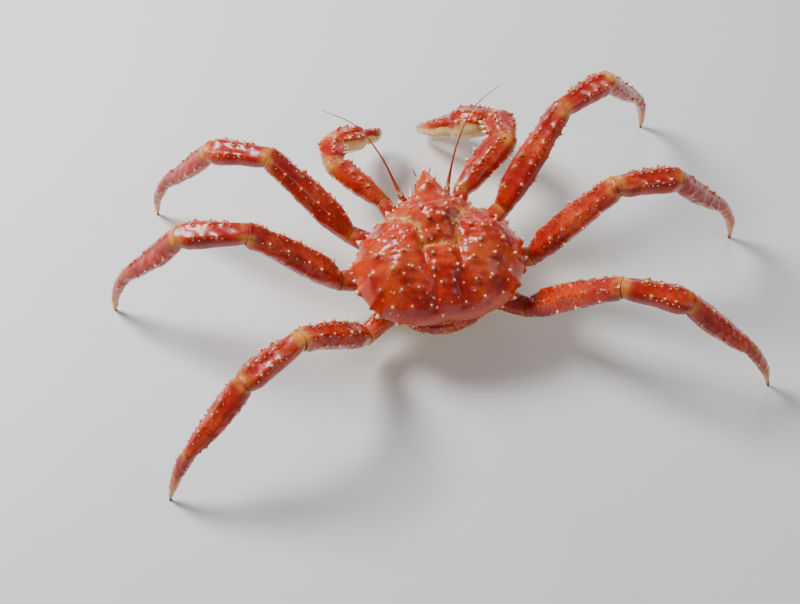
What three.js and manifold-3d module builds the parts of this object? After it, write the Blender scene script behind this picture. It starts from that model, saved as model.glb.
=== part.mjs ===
// Red king crab, whole and at life size, standing on its six walking legs with its claws held low in front.
// Millimetres. The crab faces +Y, its right side is +X, +Z is up, and its feet stand on Z = 0.
// Every shell plate is its own closed solid: the carapace, the thorax under it, the folded abdomen,
// and each length of each leg and claw, met face to face across a thin gap at its joints.
import * as THREE from 'three';
import { mergeVertices } from 'three/addons/utils/BufferGeometryUtils.js';
import Module from 'manifold-3d';

const wasm = await Module();
wasm.setup();

const { degToRad } = THREE.MathUtils;
const UP = new THREE.Vector3(0, 0, 1);
const ORIGIN = new THREE.Vector3();

// The whole animal
const GAP = 0.3; // air between two plates that touch
const CUT_SPREAD = 1.5; // a cutter spreads sideways this much more, so that its sloping faces clear too
const BODY_PITCH = degToRad(12); // the front of the body is carried high
const BODY_RISE = 98; // the carapace edge above the floor at mid-body
const BODY_PLACE = new THREE.Matrix4().makeRotationX(BODY_PITCH).setPosition(0, 0, BODY_RISE);

// Carapace, in the body's own frame with Z = 0 at its edge
const EDGE_STEP = 15; // degrees between the radii below
const EDGE_RADII = [76, 75, 72, 72, 78.5, 87, 93, 95.5, 95, 91, 84.5, 79, 74]; // from the front to the back
const DOME_RISE = 44;
const CARAPACE_SIDES = 48;
const CARAPACE_TOP_RINGS = [0.12, 0.24, 0.36, 0.48, 0.6, 0.72, 0.82, 0.9, 0.96, 1];
const CARAPACE_UNDER_RINGS = [
  { share: 0.985, level: -5 },
  { share: 0.93, level: -14 },
  { share: 0.84, level: -22 },
];
// Swollen regions: x is measured from the midline, and each has its twin on the other side
const LOBES = [
  { x: 0, y: 40, wide: 26, long: 24, rise: 16 }, // stomach
  { x: 0, y: -22, wide: 17, long: 20, rise: 8 }, // heart
  { x: 50, y: -14, wide: 28, long: 36, rise: 10 }, // gills
  { x: 38, y: 53, wide: 12, long: 10, rise: 6 }, // liver
  { x: 0, y: -60, wide: 16, long: 10, rise: 3 }, // gut
];
// Sunken seams between the regions, each a chain of points on the right-hand side
const SEAMS = [
  { depth: 5, width: 5.5, chain: [[0, 0], [19, 2], [21, 26], [32, 40], [52, 46]] },
  { depth: 4, width: 5, chain: [[19, 2], [19, -22], [12, -44], [15, -66]] },
];
// Rostrum, a broad horn between the eyes that runs out of the stomach region
const ROSTRUM = { root: [0, 44, 31], tip: [0, 102, 23] };
// Its sections: share from root to tip, half width, half height
const ROSTRUM_FORM = [
  [0, 34, 10], [0.17, 27, 9.5], [0.31, 21.5, 8.5], [0.48, 16, 7.5],
  [0.67, 10, 5.6], [0.81, 6, 4], [0.9, 3.2, 2.8], [1, 0.5, 0.5],
];
const ROSTRUM_SIDES = 10;
// The long spine beyond each eye
const ORBIT_SPINE = { foot: [17.5, 69, 6], direction: [-0.05, 1, 0.28], length: 18, radius: 5.4 };
// The spine on each of its flanks
const FLANK_SPINE = { foot: [8, 82, 27], direction: [0.45, 0.7, 0.5], length: 8 };

// Thorax, the block under the carapace that carries the limbs
const THORAX = { halfWidth: 58, halfLength: 58, power: 2.3 };
const THORAX_RINGS = [
  { share: 1, level: -22 - GAP },
  { share: 1, level: -31 },
  { share: 0.86, level: -44 },
  { share: 0.62, level: -52 },
];
const THORAX_SIDES = 28;

// Limb plates: share along the plate, half width, half height
const BASE_FORM = [[0, 13, 11.5], [0.35, 14, 12], [0.75, 13, 11.5], [1, 11.5, 10.5]];
const MERUS_FORM = [
  [0, 11, 10], [0.08, 13.5, 11.5], [0.26, 17.5, 13.5], [0.55, 17, 13],
  [0.82, 14.5, 11.5], [0.93, 15, 12], [1, 13, 10.5],
];
const CARPUS_FORM = [[0, 11.5, 10], [0.14, 13, 11.5], [0.5, 14.5, 12], [0.84, 16, 12.5], [1, 13.5, 11]];
const PROPODUS_FORM = [
  [0, 12, 10], [0.1, 14, 11.5], [0.35, 14.5, 11.5], [0.7, 12, 9.5], [0.93, 9.5, 8], [1, 8.5, 7],
];
const DACTYLUS_FORM = [
  [0, 7.4, 6.4], [0.08, 8.4, 7.4], [0.3, 7.4, 6.8], [0.6, 5.6, 5.4], [0.85, 3.2, 3.4], [1, 1.5, 1.5],
];
const PLATE_LENGTHS = { base: 54, merus: 142, carpus: 73, propodus: 108, dactylus: 84 };
const PLATE_SIDES = 10;
const PLATE_POWER = 2.5; // roundness of a plate's section: 2 is an ellipse
const JOINT_BLEND = 16; // length over which a plate's end turns into the plane of its joint
const SLIVER = 0.02; // detail smaller than this is smoothed away after pieces are joined

// Spine rows on limb plates: angle round the plate (0 front, 90 top), shares of its length, number and
// length of spine
const SPINE_ROWS = {
  base: [{ angle: 70, start: 0.5, end: 0.8, count: 2, length: 4.5 }],
  merus: [
    { angle: 12, start: 0.14, end: 0.92, count: 5, length: 5.5 },
    { angle: 62, start: 0.1, end: 0.95, count: 5, length: 6.5 },
    { angle: 120, start: 0.2, end: 0.93, count: 4, length: 5 },
    { angle: 175, start: 0.3, end: 0.9, count: 3, length: 5 },
  ],
  carpus: [
    { angle: 15, start: 0.25, end: 0.85, count: 3, length: 6 },
    { angle: 65, start: 0.2, end: 0.9, count: 3, length: 6.5 },
    { angle: 125, start: 0.3, end: 0.85, count: 3, length: 5 },
  ],
  propodus: [
    { angle: 10, start: 0.1, end: 0.9, count: 5, length: 4.8 },
    { angle: 80, start: 0.12, end: 0.85, count: 3, length: 4.6 },
    { angle: 170, start: 0.12, end: 0.9, count: 4, length: 4.4 },
  ],
  dactylus: [
    { angle: 20, start: 0.12, end: 0.45, count: 2, length: 3.4 },
    { angle: 160, start: 0.12, end: 0.3, count: 1, length: 3.2 },
  ],
};

// Where each walking leg leaves the thorax and how it is held: its bearing, the slope of its plates
// above level, and how far it turns beyond the knee, in degrees
const HIP_LEVEL = -38;
const HIP_LIFT = 2;
const LEG_PAIRS = [
  {
    name: 'front', hip: [48, 28], sweep: 36, turn: -10, scale: 0.95,
    lifts: { carpus: -8, propodus: -52, dactylus: -74 },
  },
  {
    name: 'middle', hip: [57, -4], sweep: 4, turn: 4, scale: 1,
    lifts: { carpus: -9, propodus: -49, dactylus: -72 },
  },
  {
    name: 'rear', hip: [49, -37], sweep: -31, turn: 6, scale: 0.97,
    lifts: { carpus: -6, propodus: -41, dactylus: -64 },
  },
];
const LEG_BOWS = { merus: 3.5, carpus: 1, propodus: -2, dactylus: 5 };
// Small differences that keep the two sides from being mirror images
const SIDE_VARIATION = { right: [3, -2, 2], left: [-2, 3, -3] };
const HIP_DEPTH = 14; // how far inside the thorax a limb's first plate is begun before it is cut back

// Claws: the right one is the heavy crusher
const CLAW_HIP = [28, 51];
const CLAW_LENGTHS = { base: 44, merus: 78, carpus: 46, chela: 122 };
const CLAW_HOLD = {
  right: {
    size: 1,
    sweeps: { base: 64, merus: 38, carpus: 88, chela: 148 },
    lifts: { merus: 16, carpus: -22, chela: -33 },
  },
  left: {
    size: 0.82,
    sweeps: { base: 64, merus: 44, carpus: 92, chela: 142 },
    lifts: { merus: 18, carpus: -18, chela: -36 },
  },
};
const CLAW_ROLL = degToRad(38); // the fingers open towards the midline and upwards
// A small claw's arm is not as much smaller as the claw itself
const armScale = (size) => 0.4 + 0.6 * size;
const CLAW_BASE_FORM = [[0, 12, 11], [0.4, 12.5, 11.5], [1, 10.5, 10]];
const CLAW_MERUS_FORM = [[0, 10.5, 10], [0.12, 13, 12], [0.5, 16, 14], [0.88, 17, 14.5], [1, 14, 12]];
const CLAW_CARPUS_FORM = [[0, 12.5, 11.5], [0.25, 16, 14.5], [0.75, 18, 16], [1, 13.5, 12.5]];
// Share, half height, half thickness and offset towards the movable finger
const PALM_FORM = [
  [0, 12, 11, 0], [0.07, 16, 14, 0], [0.22, 25, 18.5, 1], [0.38, 28.5, 20, 1], [0.47, 26, 18.5, -1],
  [0.56, 17, 14.5, -9], [0.68, 11.5, 11.5, -14], [0.82, 8.5, 9, -13.5], [0.93, 5.5, 6, -9.5],
  [1, 2, 2.2, -5],
];
const FINGER_FORM = [
  [0.43, 9, 10, 16], [0.52, 11.5, 12, 19], [0.62, 11.5, 11.5, 20], [0.74, 9.5, 9.5, 18],
  [0.86, 7, 7.2, 12], [0.95, 4.4, 4.8, 5.5], [1, 2, 2.2, 0.5],
];
const PALM_SIDES = 12;
// Teeth: their places along each finger and their radii
const TEETH = {
  fixed: [0.63, 0.72, 0.81, 0.89],
  moving: [0.61, 0.7, 0.79, 0.87],
  radii: [4.6, 4, 3.3, 2.6],
  sink: 1,
};
const CLAW_SPINE_ROWS = {
  base: [{ angle: 60, start: 0.5, end: 0.8, count: 2, length: 4.5 }],
  merus: [
    { angle: 15, start: 0.3, end: 0.92, count: 3, length: 7 },
    { angle: 90, start: 0.25, end: 0.95, count: 4, length: 6.5 },
    { angle: 165, start: 0.4, end: 0.9, count: 3, length: 5 },
  ],
  carpus: [
    { angle: 15, start: 0.2, end: 0.85, count: 3, length: 8.5 },
    { angle: 75, start: 0.2, end: 0.85, count: 3, length: 7 },
    { angle: 140, start: 0.25, end: 0.8, count: 3, length: 5.5 },
  ],
  palm: [
    { angle: 12, start: 0.1, end: 0.36, count: 3, length: 7 },
    { angle: 48, start: 0.1, end: 0.4, count: 3, length: 6 },
    { angle: 95, start: 0.12, end: 0.44, count: 3, length: 5 },
    { angle: 150, start: 0.14, end: 0.55, count: 3, length: 4 },
  ],
  finger: [{ angle: 40, start: 0.5, end: 0.72, count: 3, length: 4 }],
};

// Spines: a cone's foot radius is this share of its length, and its root is sunk this deep
const SPINE_FOOT = 0.42;
const EDGE_SPINE_FOOT = 0.55; // those round the carapace are broader
const SPINE_SIDES = 5;
const SPINE_SINK = 3;
// Added to the direction of a spine on the carapace, and of one on its edge
const TOP_SPINE_LEAN = new THREE.Vector3(0, 0.25, 0.35);
const EDGE_SPINE_LEAN = new THREE.Vector3(0, 0.3, 0.18);
const PLATE_SPINE_LEAN = 0.35; // how far a limb's spines lean towards its tip
// Spines round the carapace edge: bearing from the right-hand side towards the front, and length
const EDGE_SPINES = [
  { bearing: 67, length: 8 }, { bearing: 59, length: 5 }, { bearing: 51.5, length: 10 },
  { bearing: 44, length: 5 }, { bearing: 36, length: 10.5 }, { bearing: 28, length: 5.5 },
  { bearing: 20, length: 11 }, { bearing: 10.5, length: 6 }, { bearing: 1, length: 10.5 },
  { bearing: -9, length: 6.5 }, { bearing: -18, length: 8.5 }, { bearing: -28, length: 6 },
  { bearing: -38, length: 7.5 }, { bearing: -50, length: 5.5 }, { bearing: -63, length: 5 },
];
// Spines over the carapace, right-hand side; each has its twin on the left
const TOP_SPINES = [
  { x: 12, y: 58, length: 6.5 }, { x: 11, y: 41, length: 7.5 }, { x: 9, y: 28, length: 6.5 },
  { x: 24, y: 48, length: 5 }, { x: 9, y: -13, length: 6.5 }, { x: 11, y: -28, length: 6 },
  { x: 7, y: -43, length: 5 }, { x: 34, y: 55, length: 6.5 }, { x: 43, y: 41, length: 5.5 },
  { x: 42, y: -4, length: 7 }, { x: 50, y: 14, length: 6.5 }, { x: 66, y: 20, length: 6.5 },
  { x: 68, y: -2, length: 7 }, { x: 36, y: 18, length: 5 }, { x: 80, y: -18, length: 6 },
  { x: 57, y: -20, length: 6.5 }, { x: 34, y: -22, length: 5.5 }, { x: 71, y: -38, length: 6 },
  { x: 50, y: -42, length: 6 }, { x: 31, y: -44, length: 5 }, { x: 60, y: -57, length: 5.5 },
  { x: 40, y: -61, length: 5 }, { x: 20, y: -62, length: 4.5 },
];
const MID_SPINES = [{ y: 15, length: 6 }];
// The one on the rostrum's ridge
const RIDGE_SPINE = { foot: [0, 76, 33.5], direction: [0, 0.6, 0.8], length: 7 };

// Abdomen, a broad plate folded under the thorax: place in the body's own frame, half width, half
// thickness, and how far its sides bend in towards the thorax
const ABDOMEN_SECTIONS = [
  { y: -57, z: -19, halfWidth: 40, halfThickness: 6, bend: 5 },
  { y: -65.5, z: -26, halfWidth: 42, halfThickness: 7, bend: 8 },
  { y: -69.5, z: -35, halfWidth: 43, halfThickness: 7.5, bend: 10 },
  { y: -68, z: -45, halfWidth: 42.5, halfThickness: 7.5, bend: 9 },
  { y: -60, z: -53.5, halfWidth: 41, halfThickness: 7.2, bend: 5 },
  { y: -46, z: -58, halfWidth: 38.5, halfThickness: 7, bend: 1.5 },
  { y: -24, z: -59, halfWidth: 35, halfThickness: 6.8, bend: 1 },
  { y: 4, z: -58.5, halfWidth: 28, halfThickness: 6.5, bend: 1 },
  { y: 26, z: -57.5, halfWidth: 18, halfThickness: 6, bend: 1 },
  { y: 38, z: -57, halfWidth: 6, halfThickness: 5, bend: 0 },
];
const ABDOMEN_SIDES = 20;
const ABDOMEN_POWER = 2.3;

// Feelers, eyes and mouth legs: points of a curve on the right-hand side in the body's own frame,
// and radii along it
const ANTENNA = {
  points: [[21, 56, -13], [25, 78, -13], [31, 96, -6], [44, 126, 14], [68, 160, 30], [102, 182, 34]],
  radii: [5.4, 4.9, 2.4, 1.3, 1.05, 0.9, 0.75, 0.6, 0.45, 0.3],
};
const ANTENNULE = {
  points: [[4.6, 62, -7], [5, 84, -7], [6.5, 96, 0], [10, 105, 10]],
  radii: [2.4, 2.2, 1.8, 1.1, 0.8, 0.5],
};
const EYE = { points: [[8, 62, 6], [8.8, 76, 8], [9.6, 87, 10]], radii: [3.2, 3, 2.8, 3.8, 4.3, 3.5, 1.5] };
const MOUTH_LEG = {
  points: [[8.6, 44, -37], [9, 62, -37], [9.8, 74, -31], [9.6, 81, -37], [8.4, 79, -49], [7.2, 73, -60]],
  radii: [6, 6.2, 6.1, 5.4, 5.8, 5, 5.2, 4.6, 3.4, 1.6],
};
const FEELER_SIDES = 6;
const EYE_SIDES = 10;

// Finishes
const finish = (hex, roughness) => new THREE.MeshStandardMaterial({ color: hex, roughness, metalness: 0 });
const FINISHES = {
  shell: finish(0xc23a20, 0.32),
  limb: finish(0xc9402a, 0.34),
  pale: finish(0xe6c489, 0.4),
  claw: finish(0xb8382a, 0.3),
  eye: finish(0x17110f, 0.15),
  feeler: finish(0xb5462c, 0.4),
};

// Small helpers

const vector = ([x, y, z]) => new THREE.Vector3(x, y, z);
const inWorld = (point) => point.applyMatrix4(BODY_PLACE);
const turnedInWorld = (direction) => direction.transformDirection(BODY_PLACE);

/** A repeatable value between -1 and 1 for a seed, so that like pieces differ a little. */
const vary = (seed) => {
  const noise = Math.sin(seed * 12.9898 + 4.1414) * 43758.5453;
  return 2 * (noise - Math.floor(noise)) - 1;
};

/** Reads a table of rows, each starting with its share, at any share between the first and the last. */
function readTable(rows, share) {
  let next = rows.findIndex((row) => row[0] >= share);
  if (next < 1) next = next === 0 ? 1 : rows.length - 1;
  const [low, high] = [rows[next - 1], rows[next]];
  const part = THREE.MathUtils.clamp((share - low[0]) / (high[0] - low[0]), 0, 1);
  return low.slice(1).map((value, i) => value + (high[i + 1] - value) * part);
}

/** A point on a rounded section of half sizes 1, for an angle round it. */
function sectionPoint(angle, power) {
  const [c, s] = [Math.cos(angle), Math.sin(angle)];
  const radius = (Math.abs(c) ** power + Math.abs(s) ** power) ** (-1 / power);
  return [c * radius, s * radius];
}

/** Direction of a limb plate from its bearing (0 is outwards, 90 forwards) and its slope, in degrees. */
function heading(side, bearing, lift) {
  const [b, l] = [degToRad(bearing), degToRad(lift)];
  return new THREE.Vector3(side * Math.cos(b) * Math.cos(l), Math.sin(b) * Math.cos(l), Math.sin(l));
}

// Solids

/** Turns a closed three.js geometry into a solid whose faces point out. */
function solid(geometry) {
  geometry.deleteAttribute('normal');
  geometry.deleteAttribute('uv');
  const merged = mergeVertices(geometry, 1e-4);
  const vertProperties = new Float32Array(merged.getAttribute('position').array);
  const triVerts = Uint32Array.from(merged.index.array);
  const made = new wasm.Manifold(new wasm.Mesh({ numProp: 3, vertProperties, triVerts }));
  if (made.volume() > 0) return made;
  for (let i = 0; i < triVerts.length; i += 3) {
    [triVerts[i + 1], triVerts[i + 2]] = [triVerts[i + 2], triVerts[i + 1]];
  }
  return new wasm.Manifold(new wasm.Mesh({ numProp: 3, vertProperties, triVerts }));
}

/** A closed skin over rings: place(level, angle, reach) gives a point, with reach 0 at the end centres. */
function loft(sides, levels, place) {
  const form = new THREE.CylinderGeometry(1, 1, 1, sides, levels.length - 1);
  const spots = form.getAttribute('position');
  for (let i = 0; i < spots.count; i += 1) {
    const level = levels[Math.round((0.5 - spots.getY(i)) * (levels.length - 1))];
    const reach = Math.round(Math.hypot(spots.getX(i), spots.getZ(i)));
    const step = Math.round((Math.atan2(spots.getZ(i), spots.getX(i)) / (2 * Math.PI)) * sides);
    const angle = (2 * Math.PI * ((step + sides) % sides)) / sides;
    const point = place(level, angle, reach);
    spots.setXYZ(i, point.x, point.y, point.z);
  }
  return solid(form);
}

/** A tapered spine whose root is sunk under the point it stands on. */
function spine(foot, direction, length, radius = length * SPINE_FOOT) {
  const whole = length + SPINE_SINK;
  const cone = new THREE.ConeGeometry(radius * (whole / length), whole, SPINE_SIDES);
  cone.translate(0, whole / 2 - SPINE_SINK, 0);
  cone.applyQuaternion(new THREE.Quaternion().setFromUnitVectors(new THREE.Vector3(0, 1, 0), direction));
  cone.translate(foot.x, foot.y, foot.z);
  return solid(cone);
}

/** Joins the pieces of one plate and keeps its one closed body. */
function fuse(pieces) {
  const joined = wasm.Manifold.union(pieces);
  return largest(joined);
}

/** The largest closed body of a solid, without loose scraps. */
function largest(whole) {
  const bodies = whole.decompose();
  return bodies.reduce((best, body) => (body.volume() > best.volume() ? body : best));
}

/** The named mesh of a finished solid. */
function plate(name, shape, material) {
  const { vertProperties, triVerts } = largest(shape.simplify(SLIVER)).getMesh();
  const geometry = new THREE.BufferGeometry();
  geometry.setAttribute('position', new THREE.BufferAttribute(vertProperties, 3));
  geometry.setIndex(new THREE.BufferAttribute(triVerts, 1));
  geometry.computeVertexNormals();
  const mesh = new THREE.Mesh(geometry, material);
  mesh.name = name;
  return mesh;
}

// Carapace

/** Distance from the carapace's middle to its edge at a bearing in degrees, alike on both sides. */
function edgeRadius(bearing) {
  const place = THREE.MathUtils.clamp((90 - bearing) / EDGE_STEP, 0, EDGE_RADII.length - 1);
  const first = Math.min(Math.floor(place), EDGE_RADII.length - 2);
  const t = place - first;
  const at = (i) => EDGE_RADII[THREE.MathUtils.clamp(Math.abs(i), 0, EDGE_RADII.length - 1)];
  const [a, b, c, d] = [at(first - 1), at(first), at(first + 1), at(first + 2)];
  return b + 0.5 * t * (c - a + t * (2 * a - 5 * b + 4 * c - d + t * (3 * (b - c) + d - a)));
}

const bearingOf = (x, y) => THREE.MathUtils.radToDeg(Math.atan2(y, Math.abs(x)));

/** Distance from a point to a chain of points. */
function distanceToChain(x, y, chain) {
  let nearest = Infinity;
  for (let i = 1; i < chain.length; i += 1) {
    const [[ax, ay], [bx, by]] = [chain[i - 1], chain[i]];
    const [dx, dy] = [bx - ax, by - ay];
    const t = THREE.MathUtils.clamp(((x - ax) * dx + (y - ay) * dy) / (dx * dx + dy * dy), 0, 1);
    nearest = Math.min(nearest, Math.hypot(x - ax - t * dx, y - ay - t * dy));
  }
  return nearest;
}

/** Height of the carapace's top above its edge. */
function topHeight(x, y) {
  const share = Math.min(1, Math.hypot(x, y) / edgeRadius(bearingOf(x, y)));
  const fade = 1 - share ** 6;
  let height = DOME_RISE * (1 - share ** 2.6) ** 0.55;
  for (const lobe of LOBES) {
    const [u, v] = [(Math.abs(x) - lobe.x) / lobe.wide, (y - lobe.y) / lobe.long];
    height += fade * lobe.rise * Math.exp(-u * u - v * v);
  }
  for (const seam of SEAMS) {
    const away = distanceToChain(Math.abs(x), y, seam.chain) / seam.width;
    height -= fade * seam.depth * Math.exp(-away * away);
  }
  return height;
}

/** The carapace without its spines, swollen by grow for cutting a neighbour clear of it. */
function carapaceForm(grow) {
  const top = CARAPACE_TOP_RINGS.map((share) => ({ share, onTop: true }));
  const lowest = CARAPACE_UNDER_RINGS.at(-1);
  return loft(CARAPACE_SIDES, [...top, ...CARAPACE_UNDER_RINGS], (ring, angle, reach) => {
    const bearing = bearingOf(Math.cos(angle), Math.sin(angle));
    const radius = edgeRadius(bearing) * ring.share * reach;
    const [x, y] = [radius * Math.cos(angle), radius * Math.sin(angle)];
    const z = ring.onTop ? topHeight(x, y) + grow : ring.level - (ring === lowest ? grow : 0);
    const swell = 1 + (reach * grow * CUT_SPREAD) / Math.max(radius, 1);
    return inWorld(new THREE.Vector3(x * swell, y * swell, z));
  });
}

/** The rostrum's horn, swollen by grow. */
function rostrumForm(grow) {
  const [root, tip] = [vector(ROSTRUM.root), vector(ROSTRUM.tip)];
  return loft(ROSTRUM_SIDES, ROSTRUM_FORM.map((row) => row[0]), (share, angle, reach) => {
    const [halfWidth, halfHeight] = readTable(ROSTRUM_FORM, share);
    const point = root.clone().lerp(tip, share);
    point.x += reach * Math.cos(angle) * (halfWidth + grow);
    point.z += reach * Math.sin(angle) * (halfHeight + grow);
    return inWorld(point);
  });
}

/** Which way the carapace's top faces at a point. */
function topNormal(x, y) {
  const step = 1.5; // either side of the point
  const slopeX = (topHeight(x + step, y) - topHeight(x - step, y)) / (2 * step);
  const slopeY = (topHeight(x, y + step) - topHeight(x, y - step)) / (2 * step);
  return new THREE.Vector3(-slopeX, -slopeY, 1).normalize();
}

function topSpine(x, y, length) {
  const direction = topNormal(x, y).add(TOP_SPINE_LEAN).normalize();
  const foot = inWorld(new THREE.Vector3(x, y, topHeight(x, y)));
  return spine(foot, turnedInWorld(direction), length);
}

function edgeSpine(side, bearing, length) {
  const angle = degToRad(bearing);
  const radius = edgeRadius(bearing);
  const foot = new THREE.Vector3(side * radius * Math.cos(angle), radius * Math.sin(angle), 1);
  const outwards = new THREE.Vector3(side * Math.cos(angle), Math.sin(angle), 0);
  const direction = outwards.add(EDGE_SPINE_LEAN).normalize();
  foot.addScaledVector(direction, -1);
  return spine(inWorld(foot), turnedInWorld(direction), length, length * EDGE_SPINE_FOOT);
}

/** A spine given by its foot and direction in the body's own frame, on either side. */
function placedSpine(side, { foot, direction, length, radius }) {
  const mirrored = ([x, y, z]) => new THREE.Vector3(side * x, y, z);
  return spine(inWorld(mirrored(foot)), turnedInWorld(mirrored(direction).normalize()), length, radius);
}

function carapaceSpines() {
  const spines = [];
  for (const side of [1, -1]) {
    EDGE_SPINES.forEach(({ bearing, length }, i) => {
      const grown = length * (1 + 0.12 * vary(i + 7 * side));
      spines.push(edgeSpine(side, bearing + 1.5 * vary(i + 40 * side), grown));
    });
    TOP_SPINES.forEach(({ x, y, length }, i) => {
      const [dx, dy] = [1.5 * vary(3 * i + side), 1.5 * vary(5 * i + 2 * side)];
      spines.push(topSpine(side * x + dx, y + dy, length * (1 + 0.15 * vary(i + 90 * side))));
    });
    spines.push(placedSpine(side, FLANK_SPINE), placedSpine(side, ORBIT_SPINE));
  }
  spines.push(placedSpine(1, RIDGE_SPINE));
  MID_SPINES.forEach(({ y, length }) => spines.push(topSpine(0, y, length)));
  return spines;
}

function makeCarapace() {
  return fuse([carapaceForm(0), rostrumForm(0), ...carapaceSpines()]);
}

// Thorax and abdomen

/** The thorax block, swollen by grow. */
function thoraxForm(grow) {
  const [highest, lowest] = [THORAX_RINGS[0], THORAX_RINGS.at(-1)];
  const spread = grow * CUT_SPREAD;
  return loft(THORAX_SIDES, THORAX_RINGS, (ring, angle, reach) => {
    const [c, s] = sectionPoint(angle, THORAX.power);
    const x = reach * c * (THORAX.halfWidth * ring.share + spread);
    const y = reach * s * (THORAX.halfLength * ring.share + spread);
    const z = ring.level + (ring === highest ? spread : 0) - (ring === lowest ? spread : 0);
    return inWorld(new THREE.Vector3(x, y, z));
  });
}

/** A closed tube through points in the body's own frame, with the radii spread along it. */
function feeler(side, { points, radii }, sides) {
  const spots = points.map(([x, y, z]) => inWorld(new THREE.Vector3(side * x, y, z)));
  const curve = new THREE.CatmullRomCurve3(spots);
  const steps = (radii.length - 1) * 2;
  const { normals, binormals } = curve.computeFrenetFrames(steps);
  const rows = radii.map((radius, i) => [i / (radii.length - 1), radius]);
  const levels = Array.from({ length: steps + 1 }, (_, i) => i);
  return loft(sides, levels, (level, angle, reach) => {
    const [radius] = readTable(rows, level / steps);
    return curve
      .getPointAt(level / steps)
      .addScaledVector(normals[level], reach * radius * Math.cos(angle))
      .addScaledVector(binormals[level], reach * radius * Math.sin(angle));
  });
}

function abdomenForm() {
  const path = new THREE.CatmullRomCurve3(ABDOMEN_SECTIONS.map(({ y, z }) => new THREE.Vector3(0, y, z)));
  const last = ABDOMEN_SECTIONS.length - 1;
  const levels = ABDOMEN_SECTIONS.map((section, i) => ({ ...section, share: i / last }));
  return loft(ABDOMEN_SIDES, levels, ({ halfWidth, halfThickness, bend, share }, angle, reach) => {
    const along = path.getTangent(share);
    const outwards = new THREE.Vector3(0, along.z, -along.y);
    const [c, s] = sectionPoint(angle, ABDOMEN_POWER);
    const across = reach * (s * halfThickness - bend * c * c);
    const point = path.getPoint(share).addScaledVector(outwards, across);
    point.x += reach * c * halfWidth;
    return inWorld(point);
  });
}

// Limb plates

/** One straight or bowed plate of a limb between two joints, whose ends lie in the planes of the joints. */
class LimbPlate {
  constructor({ from, to, side, fromPlane, toPlane, form, size = 1, bow = 0, roll = 0 }) {
    this.from = from;
    this.to = to;
    this.axis = to.clone().sub(from).normalize();
    this.length = to.distanceTo(from);
    this.fromPlane = fromPlane ?? this.axis;
    this.toPlane = toPlane ?? this.axis;
    this.form = form;
    this.size = size;
    this.bow = bow;
    const level = UP.clone().cross(this.axis).normalize().multiplyScalar(side);
    const above = UP.clone().addScaledVector(this.axis, -UP.dot(this.axis)).normalize();
    this.front = level.clone().multiplyScalar(Math.cos(roll)).addScaledVector(above, Math.sin(roll));
    this.top = above.clone().multiplyScalar(Math.cos(roll)).addScaledVector(level, -Math.sin(roll));
  }

  /** A point on the plate, or on its centre line where reach is 0. */
  at(share, angle, reach = 1, grow = 0) {
    const values = readTable(this.form, share).map((value) => value * this.size);
    const [halfWidth, halfHeight, shift = 0] = values;
    const [c, s] = sectionPoint(angle, PLATE_POWER);
    const across = new THREE.Vector3()
      .addScaledVector(this.front, reach * c * (halfWidth + grow) + shift)
      .addScaledVector(this.top, reach * s * (halfHeight + grow) + this.bow * Math.sin(Math.PI * share));
    const point = this.from.clone().lerp(this.to, share).add(across);
    const ends = [
      [share * this.length, this.fromPlane],
      [(1 - share) * this.length, this.toPlane],
    ];
    for (const [away, plane] of ends) {
      const weight = Math.max(0, 1 - away / JOINT_BLEND);
      point.addScaledVector(this.axis, (-weight * across.dot(plane)) / this.axis.dot(plane));
    }
    return point;
  }

  /** Which way the plate's surface faces. */
  normal(share, angle) {
    const round = this.at(share, angle + 0.05).sub(this.at(share, angle - 0.05));
    const along = this.at(Math.min(share + 0.02, 1), angle).sub(this.at(Math.max(share - 0.02, 0), angle));
    const facing = round.cross(along).normalize();
    const outwards = this.at(share, angle).sub(this.at(share, angle, 0));
    return facing.dot(outwards) < 0 ? facing.negate() : facing;
  }

  body(grow = 0, sides = PLATE_SIDES) {
    const shares = this.form.map((row) => row[0]);
    return loft(sides, shares, (share, angle, reach) => this.at(share, angle, reach, grow));
  }

  /** The plate's spines, one row after another, leaning towards its far end. */
  spines(rows, seed) {
    return rows.flatMap(({ angle, start, end, count, length }, row) =>
      Array.from({ length: count }, (_, i) => {
        const place = seed + 17 * row + i;
        const share = start + ((end - start) * (i + 0.5 + 0.18 * vary(place))) / count;
        const turn = degToRad(angle + 5 * vary(place + 0.5));
        const direction = this.normal(share, turn).addScaledVector(this.axis, PLATE_SPINE_LEAN).normalize();
        return spine(this.at(share, turn), direction, this.size * length * (1 + 0.2 * vary(place + 0.3)));
      }),
    );
  }
}

const jointPlane = (before, after) => before.clone().add(after).normalize();

/** Ends of two plates stand half the gap back from their joint on either side. */
const behindJoint = (joint, plane) => joint.clone().addScaledVector(plane, -GAP / 2);
const beyondJoint = (joint, plane) => joint.clone().addScaledVector(plane, GAP / 2);

/** The first plate of a limb, begun inside the thorax and cut back to its surface. */
function hipPlate({ side, hip, bearing, length, form, size, seed, rows, nextAxis }) {
  const root = new THREE.Vector3(side * hip[0], hip[1], HIP_LEVEL);
  const direction = heading(side, bearing, HIP_LIFT);
  const inner = inWorld(root.clone().addScaledVector(direction, -HIP_DEPTH));
  const knee = inWorld(root.clone().addScaledVector(direction, length));
  const axis = knee.clone().sub(inner).normalize();
  const plane = jointPlane(axis, nextAxis);
  const to = behindJoint(knee, plane);
  const shape = new LimbPlate({ from: inner, to, side, toPlane: plane, form, size });
  const whole = fuse([shape.body(), ...shape.spines(rows, seed)]);
  return { shape: largest(whole.subtract(THORAX_CUTTER).subtract(CARAPACE_CUTTER)), knee, axis };
}

/** Where a limb's first plate ends, which the slope of the second one depends on. */
function hipEnd(side, hip, bearing, length) {
  const root = new THREE.Vector3(side * hip[0], hip[1], HIP_LEVEL);
  return inWorld(root.addScaledVector(heading(side, bearing, HIP_LIFT), length));
}

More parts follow.
